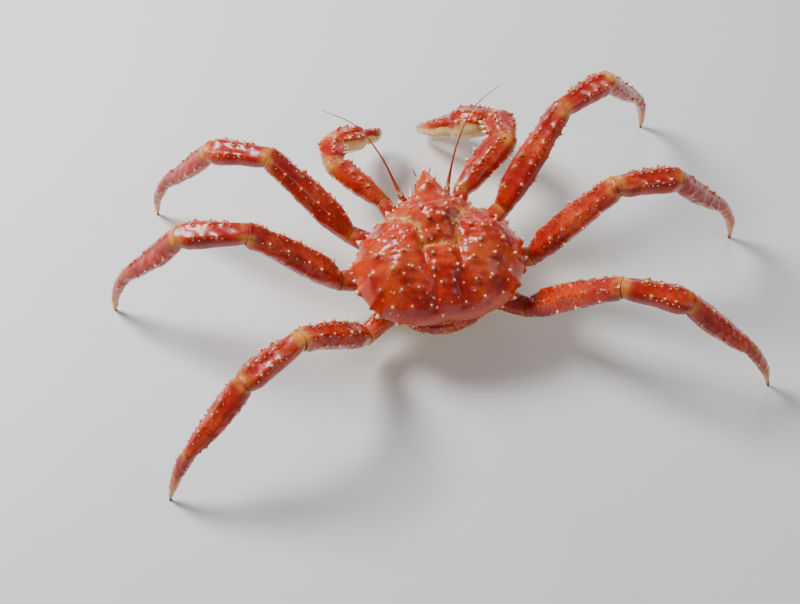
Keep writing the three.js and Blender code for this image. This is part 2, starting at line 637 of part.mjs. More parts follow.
const LEG_PLATES = ['merus', 'carpus', 'propodus', 'dactylus'];
const LEG_FORMS = {
  merus: MERUS_FORM,
  carpus: CARPUS_FORM,
  propodus: PROPODUS_FORM,
  dactylus: DACTYLUS_FORM,
};

function makeLeg(sideName, side, pair, number) {
  const { hip, scale, lifts, turn } = pair;
  const variation = SIDE_VARIATION[sideName][number];
  const bearing = pair.sweep + variation;
  const scaled = Object.entries(PLATE_LENGTHS).map(([name, value]) => [name, value * scale]);
  const lengths = Object.fromEntries(scaled);
  const start = hipEnd(side, hip, bearing, lengths.base);

  // The merus rises just enough for the foot to reach the floor
  const slopes = { ...lifts };
  slopes.carpus += variation;
  const drop = Object.entries(slopes).reduce(
    (sum, [name, slope]) => sum + lengths[name] * Math.sin(degToRad(slope)),
    0,
  );
  slopes.merus = THREE.MathUtils.radToDeg(Math.asin((-start.z - drop) / lengths.merus));

  const axes = {};
  for (const name of LEG_PLATES) {
    axes[name] = heading(side, bearing + (name === 'merus' ? 0 : turn), slopes[name]);
  }
  const seed = 100 * (number + 1) + 37 * side;
  const base = hipPlate({
    side, hip, bearing, length: lengths.base, form: BASE_FORM, size: scale,
    seed, rows: SPINE_ROWS.base, nextAxis: axes.merus,
  });
  const leg = new THREE.Group();
  const label = `leg_${sideName}_${pair.name}`;
  leg.add(plate(`${label}_base`, base.shape, FINISHES.limb));

  let [joint, before] = [base.knee, base.axis];
  LEG_PLATES.forEach((name, i) => {
    const axis = axes[name];
    const after = axes[LEG_PLATES[i + 1]];
    const far = joint.clone().addScaledVector(axis, lengths[name]);
    const fromPlane = jointPlane(before, axis);
    const toPlane = after ? jointPlane(axis, after) : UP.clone().negate();
    const shape = new LimbPlate({
      from: beyondJoint(joint, fromPlane),
      to: after ? behindJoint(far, toPlane) : far,
      side, fromPlane, toPlane, form: LEG_FORMS[name], size: scale, bow: scale * LEG_BOWS[name],
    });
    const pieces = [shape.body(), ...shape.spines(SPINE_ROWS[name], seed + 400 * (i + 1))];
    leg.add(plate(`${label}_${name}`, fuse(pieces), FINISHES.limb));
    [joint, before] = [far, axis];
  });
  return leg;
}

// Claws

/** Rounded teeth along the biting edge of a finger. */
function teeth(frame, form, shares, towards) {
  return shares.map((share, i) => {
    const [halfHeight, , shift] = readTable(form, share);
    const radius = TEETH.radii[i] * frame.size;
    const tooth = new THREE.SphereGeometry(radius, 7, 5);
    const edge = (shift + towards * (halfHeight - TEETH.sink)) * frame.size;
    const centre = frame.from.clone().lerp(frame.to, share).addScaledVector(frame.front, edge);
    tooth.translate(centre.x, centre.y, centre.z);
    return solid(tooth);
  });
}

function makeClaw(sideName, side) {
  const { size, sweeps, lifts } = CLAW_HOLD[sideName];
  const axes = {};
  for (const name of ['merus', 'carpus', 'chela']) {
    axes[name] = heading(side, sweeps[name], lifts[name]);
  }
  const seed = 900 + 53 * side;
  const base = hipPlate({
    side, hip: CLAW_HIP, bearing: sweeps.base, length: CLAW_LENGTHS.base, form: CLAW_BASE_FORM,
    size: armScale(size), seed, rows: CLAW_SPINE_ROWS.base, nextAxis: axes.merus,
  });
  const claw = new THREE.Group();
  const label = `claw_${sideName}`;
  claw.add(plate(`${label}_base`, base.shape, FINISHES.claw));

  let [joint, before] = [base.knee, base.axis];
  const arm = [['merus', CLAW_MERUS_FORM, axes.carpus], ['carpus', CLAW_CARPUS_FORM, axes.chela]];
  arm.forEach(([name, form, after], i) => {
    const axis = axes[name];
    const far = joint.clone().addScaledVector(axis, CLAW_LENGTHS[name] * armScale(size));
    const [fromPlane, toPlane] = [jointPlane(before, axis), jointPlane(axis, after)];
    const shape = new LimbPlate({
      from: beyondJoint(joint, fromPlane), to: behindJoint(far, toPlane),
      side, fromPlane, toPlane, form, size,
    });
    const pieces = [shape.body(), ...shape.spines(CLAW_SPINE_ROWS[name], seed + 200 * (i + 1))];
    claw.add(plate(`${label}_${name}`, fuse(pieces), FINISHES.claw));
    [joint, before] = [far, axis];
  });

  const wrist = jointPlane(before, axes.chela);
  const frame = {
    from: beyondJoint(joint, wrist),
    to: joint.clone().addScaledVector(axes.chela, CLAW_LENGTHS.chela * size),
    side, fromPlane: wrist, size, roll: CLAW_ROLL,
  };
  const palm = new LimbPlate({ ...frame, form: PALM_FORM });
  const finger = new LimbPlate({ ...frame, form: FINGER_FORM });
  const fixed = [
    palm.body(0, PALM_SIDES),
    ...teeth(palm, PALM_FORM, TEETH.fixed, 1),
    ...palm.spines(CLAW_SPINE_ROWS.palm, seed + 700),
  ];
  const moving = [
    finger.body(),
    ...teeth(finger, FINGER_FORM, TEETH.moving, -1),
    ...finger.spines(CLAW_SPINE_ROWS.finger, seed + 800),
  ];
  const clear = palm.body(GAP * CUT_SPREAD, PALM_SIDES);
  claw.add(plate(`${label}_palm`, fuse(fixed), FINISHES.claw));
  claw.add(plate(`${label}_finger`, fuse(moving).subtract(clear), FINISHES.claw));
  return claw;
}

// The whole crab

const CARAPACE_CUTTER = wasm.Manifold.union([carapaceForm(GAP), rostrumForm(GAP)]);
const THORAX_CUTTER = thoraxForm(GAP);

const crab = new THREE.Group();
crab.add(plate('carapace', makeCarapace(), FINISHES.shell));
crab.add(plate('thorax', thoraxForm(0), FINISHES.pale));
crab.add(plate('abdomen', abdomenForm().subtract(THORAX_CUTTER).subtract(CARAPACE_CUTTER), FINISHES.pale));

for (const [sideName, side] of [['right', 1], ['left', -1]]) {
  const small = [
    ['eye', EYE, EYE_SIDES, FINISHES.eye],
    ['antenna', ANTENNA, FEELER_SIDES, FINISHES.feeler],
    ['antennule', ANTENNULE, FEELER_SIDES, FINISHES.feeler],
    ['mouth_leg', MOUTH_LEG, EYE_SIDES, FINISHES.pale],
  ];
  for (const [name, form, sides, material] of small) {
    const shape = feeler(side, form, sides).subtract(CARAPACE_CUTTER).subtract(THORAX_CUTTER);
    crab.add(plate(`${name}_${sideName}`, shape, material));
  }
  LEG_PAIRS.forEach((pair, number) => crab.add(makeLeg(sideName, side, pair, number)));
  crab.add(makeClaw(sideName, side));
}

// The origin is on the floor under the middle of the whole crab
const bounds = new THREE.Box3().setFromObject(crab);
const middle = bounds.getCenter(ORIGIN);
crab.position.set(-middle.x, -middle.y, 0);

export default crab;
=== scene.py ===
"""A cooked red king crab, whole and life size, standing on a pale studio floor.

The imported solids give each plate's place and size. Every plate is made again here with a finer
surface, its spines on the same spots, its joint skins, and the finish of glossy cooked shell.
Lengths are millimetres in the code and become metres when a mesh is placed.
"""

import logging
import math
from collections.abc import Callable, Sequence
from dataclasses import dataclass, field
from enum import Enum
from typing import ClassVar

import bpy
import numpy as np
from mathutils import Matrix, Vector

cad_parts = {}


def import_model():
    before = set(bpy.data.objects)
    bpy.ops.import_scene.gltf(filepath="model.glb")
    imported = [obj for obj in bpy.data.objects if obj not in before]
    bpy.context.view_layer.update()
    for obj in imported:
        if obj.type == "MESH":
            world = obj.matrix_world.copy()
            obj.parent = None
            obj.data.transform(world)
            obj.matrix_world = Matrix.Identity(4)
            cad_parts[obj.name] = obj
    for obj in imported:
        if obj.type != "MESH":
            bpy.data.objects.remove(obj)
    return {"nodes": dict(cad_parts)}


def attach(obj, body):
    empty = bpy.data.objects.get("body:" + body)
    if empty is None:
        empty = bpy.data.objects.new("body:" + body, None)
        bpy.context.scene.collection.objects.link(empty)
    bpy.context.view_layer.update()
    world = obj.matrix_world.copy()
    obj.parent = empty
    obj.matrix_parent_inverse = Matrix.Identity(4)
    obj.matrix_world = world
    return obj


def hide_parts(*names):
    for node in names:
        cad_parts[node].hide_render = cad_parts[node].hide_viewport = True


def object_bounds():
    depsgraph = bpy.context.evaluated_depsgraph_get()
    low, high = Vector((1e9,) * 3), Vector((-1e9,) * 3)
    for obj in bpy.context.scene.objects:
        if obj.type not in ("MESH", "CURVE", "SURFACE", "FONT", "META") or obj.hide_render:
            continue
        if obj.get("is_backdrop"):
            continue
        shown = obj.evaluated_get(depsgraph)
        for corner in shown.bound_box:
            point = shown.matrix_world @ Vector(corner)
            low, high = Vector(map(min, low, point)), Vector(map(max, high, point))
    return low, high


# Short names for the types that stand everywhere below
Array = np.ndarray
Piece = bpy.types.Object
Material = bpy.types.Material
Socket = bpy.types.NodeSocket

LOG = logging.getLogger("crab")
BODY = "root"
MM = 0.001
UP = np.array([0.0, 0.0, 1.0])
GAP = 0.3


class Side(Enum):
    """The crab's right side is +X."""

    RIGHT = 1
    LEFT = -1

    @property
    def label(self) -> str:
        """The side as it stands in a node's name."""
        return self.name.lower()

    @property
    def mirror(self) -> Array:
        """Factors that carry a point of the right-hand side over to this one."""
        return np.array([self.value, 1, 1])


class Slot(Enum):
    """Names of the material slots."""

    CARAPACE = "carapace_shell"
    LEG = "leg_shell"
    CLAW = "claw_shell"
    PALE = "pale_shell"
    EYE = "eye"
    FEELER = "feeler"


# Small helpers for numbers


def vary(seed: float) -> float:
    """A repeatable value between -1 and 1 for a seed."""
    noise = math.sin(seed * 12.9898 + 4.1414) * 43758.5453
    return 2 * (noise - math.floor(noise)) - 1


def unit(vector: Array) -> Array:
    """The vector, or each row of an array of them, at length 1."""
    return vector / np.maximum(np.linalg.norm(vector, axis=-1, keepdims=True), 1e-12)


def ease(low: float, high: float, value: Array) -> Array:
    """0 below low, 1 above high and smooth between; low may be the larger."""
    t = np.clip((value - low) / (high - low), 0, 1)
    return t * t * (3 - 2 * t)


def bell(value: Array) -> Array:
    """1 at 0, and smoothly less on both sides."""
    return np.exp(-(value**2))


def hermite(t: Array, a: Array, m: Array, b: Array, n: Array) -> Array:
    """A smooth run from a, with slope m, to b, with slope n, as t goes from 0 to 1."""
    t2, t3 = t * t, t * t * t
    return (2 * t3 - 3 * t2 + 1) * a + (t3 - 2 * t2 + t) * m + (3 * t2 - 2 * t3) * b + (t3 - t2) * n


def polar_angles(direction: Array) -> tuple[Array, Array]:
    """Degrees from straight up, and the angle round the vertical in radians, of each direction."""
    polar = np.degrees(np.arccos(np.clip(direction[:, 2], -1, 1)))
    return polar, np.arctan2(direction[:, 1], direction[:, 0])


def heading(side: Side, bearing: float, lift: float = 0.0) -> Array:
    """Direction from a bearing (0 outwards, 90 forwards) and a slope, in degrees."""
    b, s = math.radians(bearing), math.radians(lift)
    return np.array([side.value * math.cos(b) * math.cos(s), math.sin(b) * math.cos(s), math.sin(s)])


def section(angle: Array, power: float) -> tuple[Array, Array]:
    """A point on a rounded section of half sizes 1; power 2 is a circle."""
    c, s = np.cos(angle), np.sin(angle)
    radius = (np.abs(c) ** power + np.abs(s) ** power) ** (-1 / power)
    return c * radius, s * radius


def ripple(points: Array, size: float, seed: int) -> Array:
    """Soft unevenness between about -1 and 1, with lumps about size across."""
    draw = np.random.default_rng(seed)
    total = np.zeros(len(points))
    waves = 9
    for _ in range(waves):
        direction = unit(draw.normal(size=3))
        pitch = 2 * math.pi / (size * draw.uniform(1.2, 2.6))
        total += np.sin(points @ direction * pitch + draw.uniform(0, 2 * math.pi))
    return total / math.sqrt(waves)


class Table:
    """Rows of share and values, read as smooth lines through the rows that never overshoot them."""

    def __init__(self, rows: Sequence[Sequence[float]]) -> None:
        data = np.array(rows, float)
        self.shares, self.values = data[:, 0], data[:, 1:]
        steps = np.diff(self.shares)[:, None]
        rises = np.diff(self.values, axis=0) / steps
        slopes = np.zeros_like(self.values)
        before, after = rises[:-1], rises[1:]
        same = before * after > 0
        total = np.where(same, before + after, 1.0)
        slopes[1:-1] = np.where(same, 2 * before * after / total, 0)
        slopes[0], slopes[-1] = rises[0], rises[-1]
        self.steps, self.slopes = steps[:, 0], slopes

    def read(self, share: Array) -> Array:
        """Values at each share, one row each."""
        share = np.clip(np.atleast_1d(share), self.shares[0], self.shares[-1])
        i = np.clip(np.searchsorted(self.shares, share, side="right") - 1, 0, len(self.steps) - 1)
        step = self.steps[i]
        t = ((share - self.shares[i]) / step)[:, None]
        m, n = self.slopes[i] * step[:, None], self.slopes[i + 1] * step[:, None]
        return hermite(t, self.values[i], m, self.values[i + 1], n)


class Curve:
    """A smooth line through points, with sharp bends kept small."""

    def __init__(self, points: Array) -> None:
        first, last = 2 * points[0] - points[1], 2 * points[-1] - points[-2]
        self.points = np.vstack([first, points, last])
        self.spans = len(points) - 1

    def at(self, t: Array) -> Array:
        """Points at shares of the point count, 0 to 1."""
        place = np.clip(np.atleast_1d(t), 0, 1) * self.spans
        i = np.minimum(place.astype(int), self.spans - 1)
        w = (place - i)[:, None]
        p0, p1, p2, p3 = (self.points[i + k] for k in range(4))
        d0, d1, d2 = (
            np.sqrt(np.linalg.norm(b - a, axis=1, keepdims=True)) for a, b in ((p0, p1), (p1, p2), (p2, p3))
        )
        m1 = d1 * ((p1 - p0) / d0 - (p2 - p0) / (d0 + d1) + (p2 - p1) / d1)
        m2 = d1 * ((p2 - p1) / d1 - (p3 - p1) / (d1 + d2) + (p3 - p2) / d2)
        return hermite(w, p1, m1, p2, m2)

    def even(self, shares: Array) -> Array:
        """Points at shares of the line's length."""
        t = np.linspace(0, 1, 400)
        line = self.at(t)
        run = np.concatenate([[0], np.cumsum(np.linalg.norm(np.diff(line, axis=0), axis=1))])
        return self.at(np.interp(shares * run[-1], run, t))

    @staticmethod
    def frames(line: Array) -> tuple[Array, Array]:
        """Two directions across the line at each of its points, turning as little as they can."""
        along = unit(np.gradient(line, axis=0))
        first = np.cross(along[0], UP if abs(along[0][2]) < 0.9 else np.array([1.0, 0, 0]))
        normals = [unit(first)]
        for direction in along[1:]:
            normals.append(unit(normals[-1] - direction * (normals[-1] @ direction)))
        across = np.array(normals)
        return across, np.cross(along, across)


# Small helpers for meshes


def take(piece: Piece) -> None:
    """Makes the piece the only selected object, and the active one."""
    bpy.ops.object.select_all(action="DESELECT")
    piece.select_set(True)
    bpy.context.view_layer.objects.active = piece


def read_points(piece: Piece, what: str = "co") -> Array:
    """A mesh's points in its own units, or the "normal" at each."""
    values = np.empty(len(piece.data.vertices) * 3)
    piece.data.vertices.foreach_get(what, values)
    return values.reshape(-1, 3)


def set_points(piece: Piece, points: Array) -> None:
    """Moves a mesh's points, and turns its faces outwards."""
    piece.data.vertices.foreach_set("co", points.astype(np.float32).ravel())
    piece.data.update()
    piece.data.calc_loop_triangles()
    corners = np.empty(len(piece.data.loop_triangles) * 3, np.int32)
    piece.data.loop_triangles.foreach_get("vertices", corners)
    a, b, c = (points[corners.reshape(-1, 3)[:, k]] for k in range(3))
    if np.einsum("ij,ij->", a, np.cross(b, c)) < 0:
        piece.data.flip_normals()
        piece.data.update()


def swell(piece: Piece, points: Array, heights: Array) -> None:
    """Moves a mesh's points out along their normals, each by its height."""
    set_points(piece, points + read_points(piece, "normal") * heights[:, None])


def paint(piece: Piece, **layers: Array) -> None:
    """Stores numbers for each point under their names, for the finish to read."""
    for name, values in layers.items():
        layer = piece.data.attributes.new(name, "FLOAT", "POINT")
        layer.data.foreach_set("value", np.clip(values, 0, 1).astype(np.float32))


def blank_mesh(name: str, add: Callable[..., set], **sizes: float) -> Piece:
    """A new primitive under its name."""
    bpy.ops.object.select_all(action="DESELECT")
    add(**sizes)
    bpy.context.object.name = name
    return bpy.context.object


def blank_tube(name: str, sides: int, rings: int) -> tuple[Piece, Array, Array, Array]:
    """A closed tube blank, to be given its form.

    Args:
        name: The piece's name.
        sides: Points in each ring.
        rings: Rings between the two end points.

    Returns:
        The piece, and for each of its points the nearest ring, 1 on the wall and 0 at the two end
        points, and the angle.
    """
    sphere = bpy.ops.mesh.primitive_uv_sphere_add
    piece = blank_mesh(name, sphere, segments=sides, ring_count=rings + 1, radius=1, calc_uvs=False)
    points = read_points(piece)
    polar = np.arccos(np.clip(points[:, 2], -1, 1))
    ring = np.rint(polar * (rings + 1) / math.pi).astype(int) - 1
    wall = np.where((ring < 0) | (ring >= rings), 0, 1)
    return piece, np.clip(ring, 0, rings - 1), wall, np.arctan2(points[:, 1], points[:, 0])


def blank_ball(name: str, cuts: int) -> tuple[Piece, Array]:
    """A ball of even square faces, to be given its form.

    Args:
        name: The piece's name.
        cuts: Cuts across each side of the cube that it starts as.

    Returns:
        The piece and the direction of each of its points from the middle.
    """
    piece = blank_mesh(name, bpy.ops.mesh.primitive_cube_add, size=2, calc_uvs=False)
    bpy.ops.object.mode_set(mode="EDIT")
    bpy.ops.mesh.select_all(action="SELECT")
    bpy.ops.mesh.subdivide(number_cuts=cuts)
    bpy.ops.object.mode_set(mode="OBJECT")
    return piece, unit(np.tan(read_points(piece) * math.pi / 4))


def combine(piece: Piece, other: Piece, operation: str = "UNION") -> None:
    """Joins another closed mesh to the piece, or cuts it away, and removes the other."""
    take(piece)
    bpy.ops.object.modifier_add(type="BOOLEAN")
    modifier = piece.modifiers[-1]
    modifier.operation = operation
    modifier.solver = "MANIFOLD"
    modifier.object = other
    bpy.ops.object.modifier_apply(modifier=modifier.name)
    bpy.data.objects.remove(other)


def soften(piece: Piece, weights: Array, turns: int) -> None:
    """Smooths the piece's surface where the weights are high."""
    group = piece.vertex_groups.new(name="soften")
    steps = 10
    levels = np.clip(np.rint(weights * steps), 0, steps).astype(int)
    for level in range(1, steps + 1):
        chosen = np.nonzero(levels == level)[0].tolist()
        if chosen:
            group.add(chosen, level / steps, "REPLACE")
    take(piece)
    bpy.ops.object.modifier_add(type="SMOOTH")
    modifier = piece.modifiers[-1]
    modifier.iterations = turns
    modifier.vertex_group = group.name
    bpy.ops.object.modifier_apply(modifier=modifier.name)
    piece.vertex_groups.clear()


def join_copies(name: str, master: Piece, places: Sequence[Array]) -> Piece:
    """One mesh of a master's copies.

    Args:
        name: The new piece's name.
        master: The mesh to copy, which is removed.
        places: For each copy, its points.

    Returns:
        The new piece.
    """
    count = len(master.data.vertices)
    faces = [list(face.vertices) for face in master.data.polygons]
    bpy.data.objects.remove(master)
    mesh = bpy.data.meshes.new(name)
    all_faces = [[v + k * count for v in face] for k in range(len(places)) for face in faces]
    mesh.from_pydata(np.vstack(places).tolist(), [], all_faces)
    piece = bpy.data.objects.new(name, mesh)
    bpy.context.scene.collection.objects.link(piece)
    return piece


def hand_over(piece: Piece, slot: Slot, finish: Material, *nodes: str) -> None:
    """Finishes a piece: metres, smooth faces, its material, its body and the nodes that it stands for."""
    piece.data.transform(Matrix.Scale(MM, 4))
    take(piece)
    bpy.ops.object.shade_smooth()
    piece.data.materials.clear()
    piece.data.materials.append(finish)
    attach(piece, BODY)
    if nodes:
        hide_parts(*nodes)
    LOG.info("%s: %d points", piece.name, len(piece.data.vertices))


# Spines


@dataclass(frozen=True)
class Spine:
    """A tapered spine that stands on a shell plate."""

    foot: Array
    direction: Array
    length: float
    foot_share: float = 0.42

    @property
    def radius(self) -> float:
        """Radius of its foot."""
        return self.foot_share * self.length

    def raised(self, height: float) -> "Spine":
        """The same spine on a foot that is swollen by a height, its tip where it was."""
        length = max(self.length - height, 0.3 * self.length)
        foot = self.foot + self.direction * (self.length - length)
        return Spine(foot, self.direction, length, self.radius / length)


@dataclass
class SpineSet:
    """The spines of one plate."""

    spines: list[Spine]
    sides: int = 14
    sink: float = 3.0
    # Height as a share of the length, and radius as a share of the foot's
    profile: tuple[tuple[float, float], ...] = (
        (0.0, 1.0), (0.08, 0.88), (0.2, 0.73), (0.36, 0.57), (0.54, 0.42), (0.7, 0.3), (0.84, 0.19),
        (0.93, 0.12),
        (0.98, 0.06),
    )

    def mesh(self, name: str) -> Piece:
        """All the spines as one mesh, their roots sunk into the plate."""
        table = np.array([(0.0, 1.05), *self.profile])
        rows = len(table)
        master, ring, wall, angle = blank_tube(name, self.sides, rows)
        reach = wall * table[ring, 1]
        height = np.where((ring == rows - 1) & (wall == 0), 1, table[ring, 0])
        places = []
        for k, spine in enumerate(self.spines):
            across = unit(np.cross(spine.direction, [0.3, 0.2, 0.93]))
            third = np.cross(spine.direction, across)
            turn = angle + k
            up = height * spine.length
            up[ring == 0] = -self.sink
            radius = reach * spine.radius
            places.append(
                spine.foot
                + np.outer(up, spine.direction)
                + np.outer(radius * np.cos(turn), across)
                + np.outer(radius * np.sin(turn), third)
            )
        return join_copies(name, master, places)

    def risen(self, share: float) -> "SpineSet":
        """The spines on feet swollen by a share of their lengths."""
        return SpineSet([spine.raised(share * spine.length) for spine in self.spines], self.sides)

    def most(self, points: Array, value: Callable[..., Array], box: float = 1.6) -> Array:
        """The highest value that any spine gives each point.

        Args:
            points: The points.
            value: Gives it from the spine and its points' distances from its foot, along it and aside.
            box: How far a spine's points reach, as a share of its foot radius and length together.

        Returns:
            One value for each point, 0 away from all spines.
        """
        most = np.zeros(len(points))
        for spine in self.spines:
            near = np.all(np.abs(points - spine.foot) < box * (spine.radius + spine.length), axis=1)
            rest = points[near] - spine.foot
            up = rest @ spine.direction
            aside = np.linalg.norm(rest - np.outer(up, spine.direction), axis=1)
            most[near] = np.maximum(most[near], value(spine, np.linalg.norm(rest, axis=1), up, aside))
        return most

    def swelling(self, points: Array, reach: float, share: float) -> Array:
        """How far the plate swells under its spines: a share of their length, out to a reach of radii."""

        def value(spine: Spine, away: Array, *_: Array) -> Array:
            """One spine's swelling."""
            return share * spine.length * bell(away / (reach * spine.radius))

        return self.most(points, value, 3.5)

    def tips(self, points: Array) -> Array:
        """Each point's height on its spine, 0 to 1."""

        def value(spine: Spine, _: Array, up: Array, aside: Array) -> Array:
            """Height on one spine."""
            share = up / spine.length
            inside = (aside < spine.radius * (1.2 - share * 0.8)) & (share > 0) & (share < 1.1)
            return np.where(inside, share, 0)

        return self.most(points, value)

    def halos(self, points: Array) -> Array:
        """The ring of paler shell round each spine's foot, 0 to 1."""
        return self.most(points, lambda spine, away, up, aside: ease(2.0, 1.0, away / spine.radius))

    def seams(self, points: Array) -> Array:
        """Where the spines' feet meet the plate, 0 to 1."""

        def value(spine: Spine, _: Array, up: Array, aside: Array) -> Array:
            """One spine's seam."""
            return np.exp(-(((aside / spine.radius) - 1.05) ** 2) / 0.12 - (up / (0.35 * spine.length)) ** 2)

        return self.most(points, value)


@dataclass(frozen=True)
class SpineRow:
    """A row of spines along a limb plate: its angle round the plate (0 front, 90 top) and its extent."""

    angle: float
    start: float
    end: float
    count: int
    length: float
    # How much its spines vary: place as a share of their spacing, degrees round the plate, share of length
    varied: ClassVar[tuple[float, float, float]] = (0.18, 5, 0.2)

    def fine(self) -> "SpineRow":
        """The row of small tubercles beside it."""
        start, end = self.start - 0.03, self.end + 0.03
        return SpineRow(self.angle + 11, start, end, 2 * self.count + 1, 0.42 * self.length)


def fuse_spines(piece: Piece, *groups: SpineSet) -> None:
    """Joins the spines to their plate and rounds their feet."""
    for k, spines in enumerate(groups):
        if spines.spines:
            combine(piece, spines.mesh(f"{piece.name}_spines_{k}"))
            soften(piece, spines.seams(read_points(piece)), 5)


# The body's own frame


@dataclass(frozen=True)
class Stance:
    """How the body stands: its front carried high, its edge above the floor, the origin under the middle."""

    pitch: float = math.radians(12)
    rise: float = 98.0
    shift: tuple[float, float] = (3.308, -24.695)

    def place(self, points: Array) -> Array:
        """Points of the body's own frame in the part's frame."""
        return self.turn(points) + np.array([*self.shift, self.rise])

    def turn(self, directions: Array, way: int = 1) -> Array:
        """Directions of the body's own frame in the part's frame, or with way -1 the other way round."""
        c, s = math.cos(self.pitch), way * math.sin(self.pitch)
        x, y, z = np.moveaxis(np.asarray(directions, float), -1, 0)
        return np.stack([x, y * c - z * s, y * s + z * c], axis=-1)

    def back(self, points: Array) -> Array:
        """Points of the part's frame in the body's own frame."""
        return self.turn(points - np.array([*self.shift, self.rise]), -1)


# Carapace

# Foot, direction, length and foot radius of a spine
Placed = tuple[tuple[float, ...], tuple[float, ...], float, float]


@dataclass(frozen=True)
class Carapace:
    """The domed shell over the body, with its rostrum and all its spines."""

    stance: Stance
    edge_step: float = 15.0
    edge_radii: tuple[float, ...] = (76, 75, 72, 72, 78.5, 87, 93, 95.5, 95, 91, 84.5, 79, 74)
    dome_rise: float = 44.0
    # Swollen regions: distance from the midline, place forwards, width, length and rise
    lobes: tuple[tuple[float, ...], ...] = (
        (0, 40, 26, 24, 16),
        (0, -22, 17, 20, 8),
        (50, -14, 28, 36, 10),
        (38, 53, 12, 10, 6),
        (0, -60, 16, 10, 3),
    )
    # Sunken seams: depth, width and points
    seams: tuple[tuple[float, float, tuple[tuple[float, float], ...]], ...] = (
        (5, 5.5, ((0, 0), (19, 2), (21, 26), (32, 40), (52, 46))),
        (4, 5, ((19, 2), (19, -22), (12, -44), (15, -66))),
    )
    # The pits in the seam: place, depth and width
    pit: tuple[float, float] = (19, 2)
    pit_depth: float = 2.4
    pit_width: float = 3.4
    # Yellow patches beside the main seam: place and size
    patches: tuple[tuple[float, float, float], ...] = ((31, 39, 6), (21, 24, 4.5), (45, 44, 5))
    rostrum_root: tuple[float, float, float] = (0, 44, 31)
    rostrum_tip: tuple[float, float, float] = (0, 102, 23)
    rostrum_form: tuple[tuple[float, ...], ...] = (
        (0, 34, 10), (0.17, 27, 9.5), (0.31, 21.5, 8.5), (0.48, 16, 7.3), (0.67, 9.6, 5.2), (0.78, 5.6, 3.9),
        (0.86, 3.0, 2.7), (0.92, 1.8, 1.8), (1, 0.3, 0.3),
    )
    # Spines: bearing and length round the edge; across, forwards and length over the top, each with its twin
    edge_spines: tuple[tuple[float, float], ...] = (
        (67, 8), (59, 5), (51.5, 10), (44, 5), (36, 10.5), (28, 5.5), (20, 11), (10.5, 6), (1, 10.5),
        (-9, 6.5),
        (-18, 8.5), (-28, 6), (-38, 7.5), (-50, 5.5), (-63, 5),
    )
    edge_foot_share: float = 0.55
    top_spines: tuple[tuple[float, float, float], ...] = (
        (12, 58, 6.5), (11, 41, 7.5), (9, 28, 6.5), (24, 48, 5), (9, -13, 6.5), (11, -28, 6), (7, -43, 5),
        (34, 55, 6.5), (43, 41, 5.5), (42, -4, 7), (50, 14, 6.5), (66, 20, 6.5), (68, -2, 7), (36, 18, 5),
        (80, -18, 6), (57, -20, 6.5), (34, -22, 5.5), (71, -38, 6), (50, -42, 6), (31, -44, 5),
        (60, -57, 5.5),
        (40, -61, 5), (20, -62, 4.5),
    )
    mid_spines: tuple[tuple[float, float], ...] = ((15, 6),)
    # Spines beside the rostrum and beyond the eye, each with its twin, and the one on the ridge
    placed_spines: tuple[Placed, ...] = (
        ((8, 82, 27), (0.45, 0.7, 0.5), 8, 3.36),
        ((17.5, 69, 6), (-0.05, 1, 0.28), 18, 5.4),
    )
    ridge_spine: Placed = ((0, 76, 33.5), (0, 0.6, 0.8), 7, 2.94)
    top_lean: tuple[float, float, float] = (0, 0.25, 0.35)
    edge_lean: tuple[float, float, float] = (0, 0.3, 0.18)
    # The edge runs out to each spine in a cusp: share of the spine's length, and width in degrees
    cusp_share: float = 0.3
    cusp_width: float = 4.6
    # How far a spine may stand from its place
    scatter: float = 1.5
    # How the shell swells under the spines: reach in foot radii, and share of their length
    top_swelling: tuple[float, float] = (1.9, 0.3)
    edge_swelling: tuple[float, float] = (1.1, 0.08)
    # Unevenness of the shell: height, size and seed of each ripple, and how far it all sinks
    ripples: tuple[tuple[float, float, int], ...] = ((0.48, 7, 3), (0.85, 20, 4))
    sink: float = 0.5
    cuts: int = 109
    pimples: int = 240
    # Granules under the edge: how many on a side, and the bearings between which they stand
    granules: int = 26
    granule_span: tuple[float, float] = (-64.0, 66.0)

    def radius(self, bearing: Array) -> Array:
        """Distance from the middle to the edge at a bearing in degrees."""
        last = len(self.edge_radii) - 1
        place = np.clip((90 - bearing) / self.edge_step, 0, last)
        first = np.minimum(place.astype(int), last - 1)
        t = place - first
        radii = np.array(self.edge_radii)
        a, b, c, d = (radii[np.clip(np.abs(first + k), 0, last)] for k in (-1, 0, 1, 2))
        return b + 0.5 * t * (c - a + t * (2 * a - 5 * b + 4 * c - d + t * (3 * (b - c) + d - a)))

    @staticmethod
    def bearing(x: Array, y: Array) -> Array:
        """Bearing of a spot in degrees, alike on both sides."""
        return np.degrees(np.arctan2(y, np.abs(x)))

    def share(self, x: Array, y: Array) -> Array:
        """How far out a spot lies, 0 in the middle and 1 at the edge."""
        return np.minimum(1, np.hypot(x, y) / self.radius(self.bearing(x, y)))

    @staticmethod
    def from_chain(x: Array, y: Array, chain: Sequence[Sequence[float]]) -> Array:
        """Distance from each spot to a chain of points on the right-hand side."""
        nearest = np.full(np.shape(x), np.inf)
        for (ax, ay), (bx, by) in zip(chain, chain[1:]):
            dx, dy = bx - ax, by - ay
            t = np.clip(((x - ax) * dx + (y - ay) * dy) / (dx * dx + dy * dy), 0, 1)
            nearest = np.minimum(nearest, np.hypot(x - ax - t * dx, y - ay - t * dy))
        return nearest

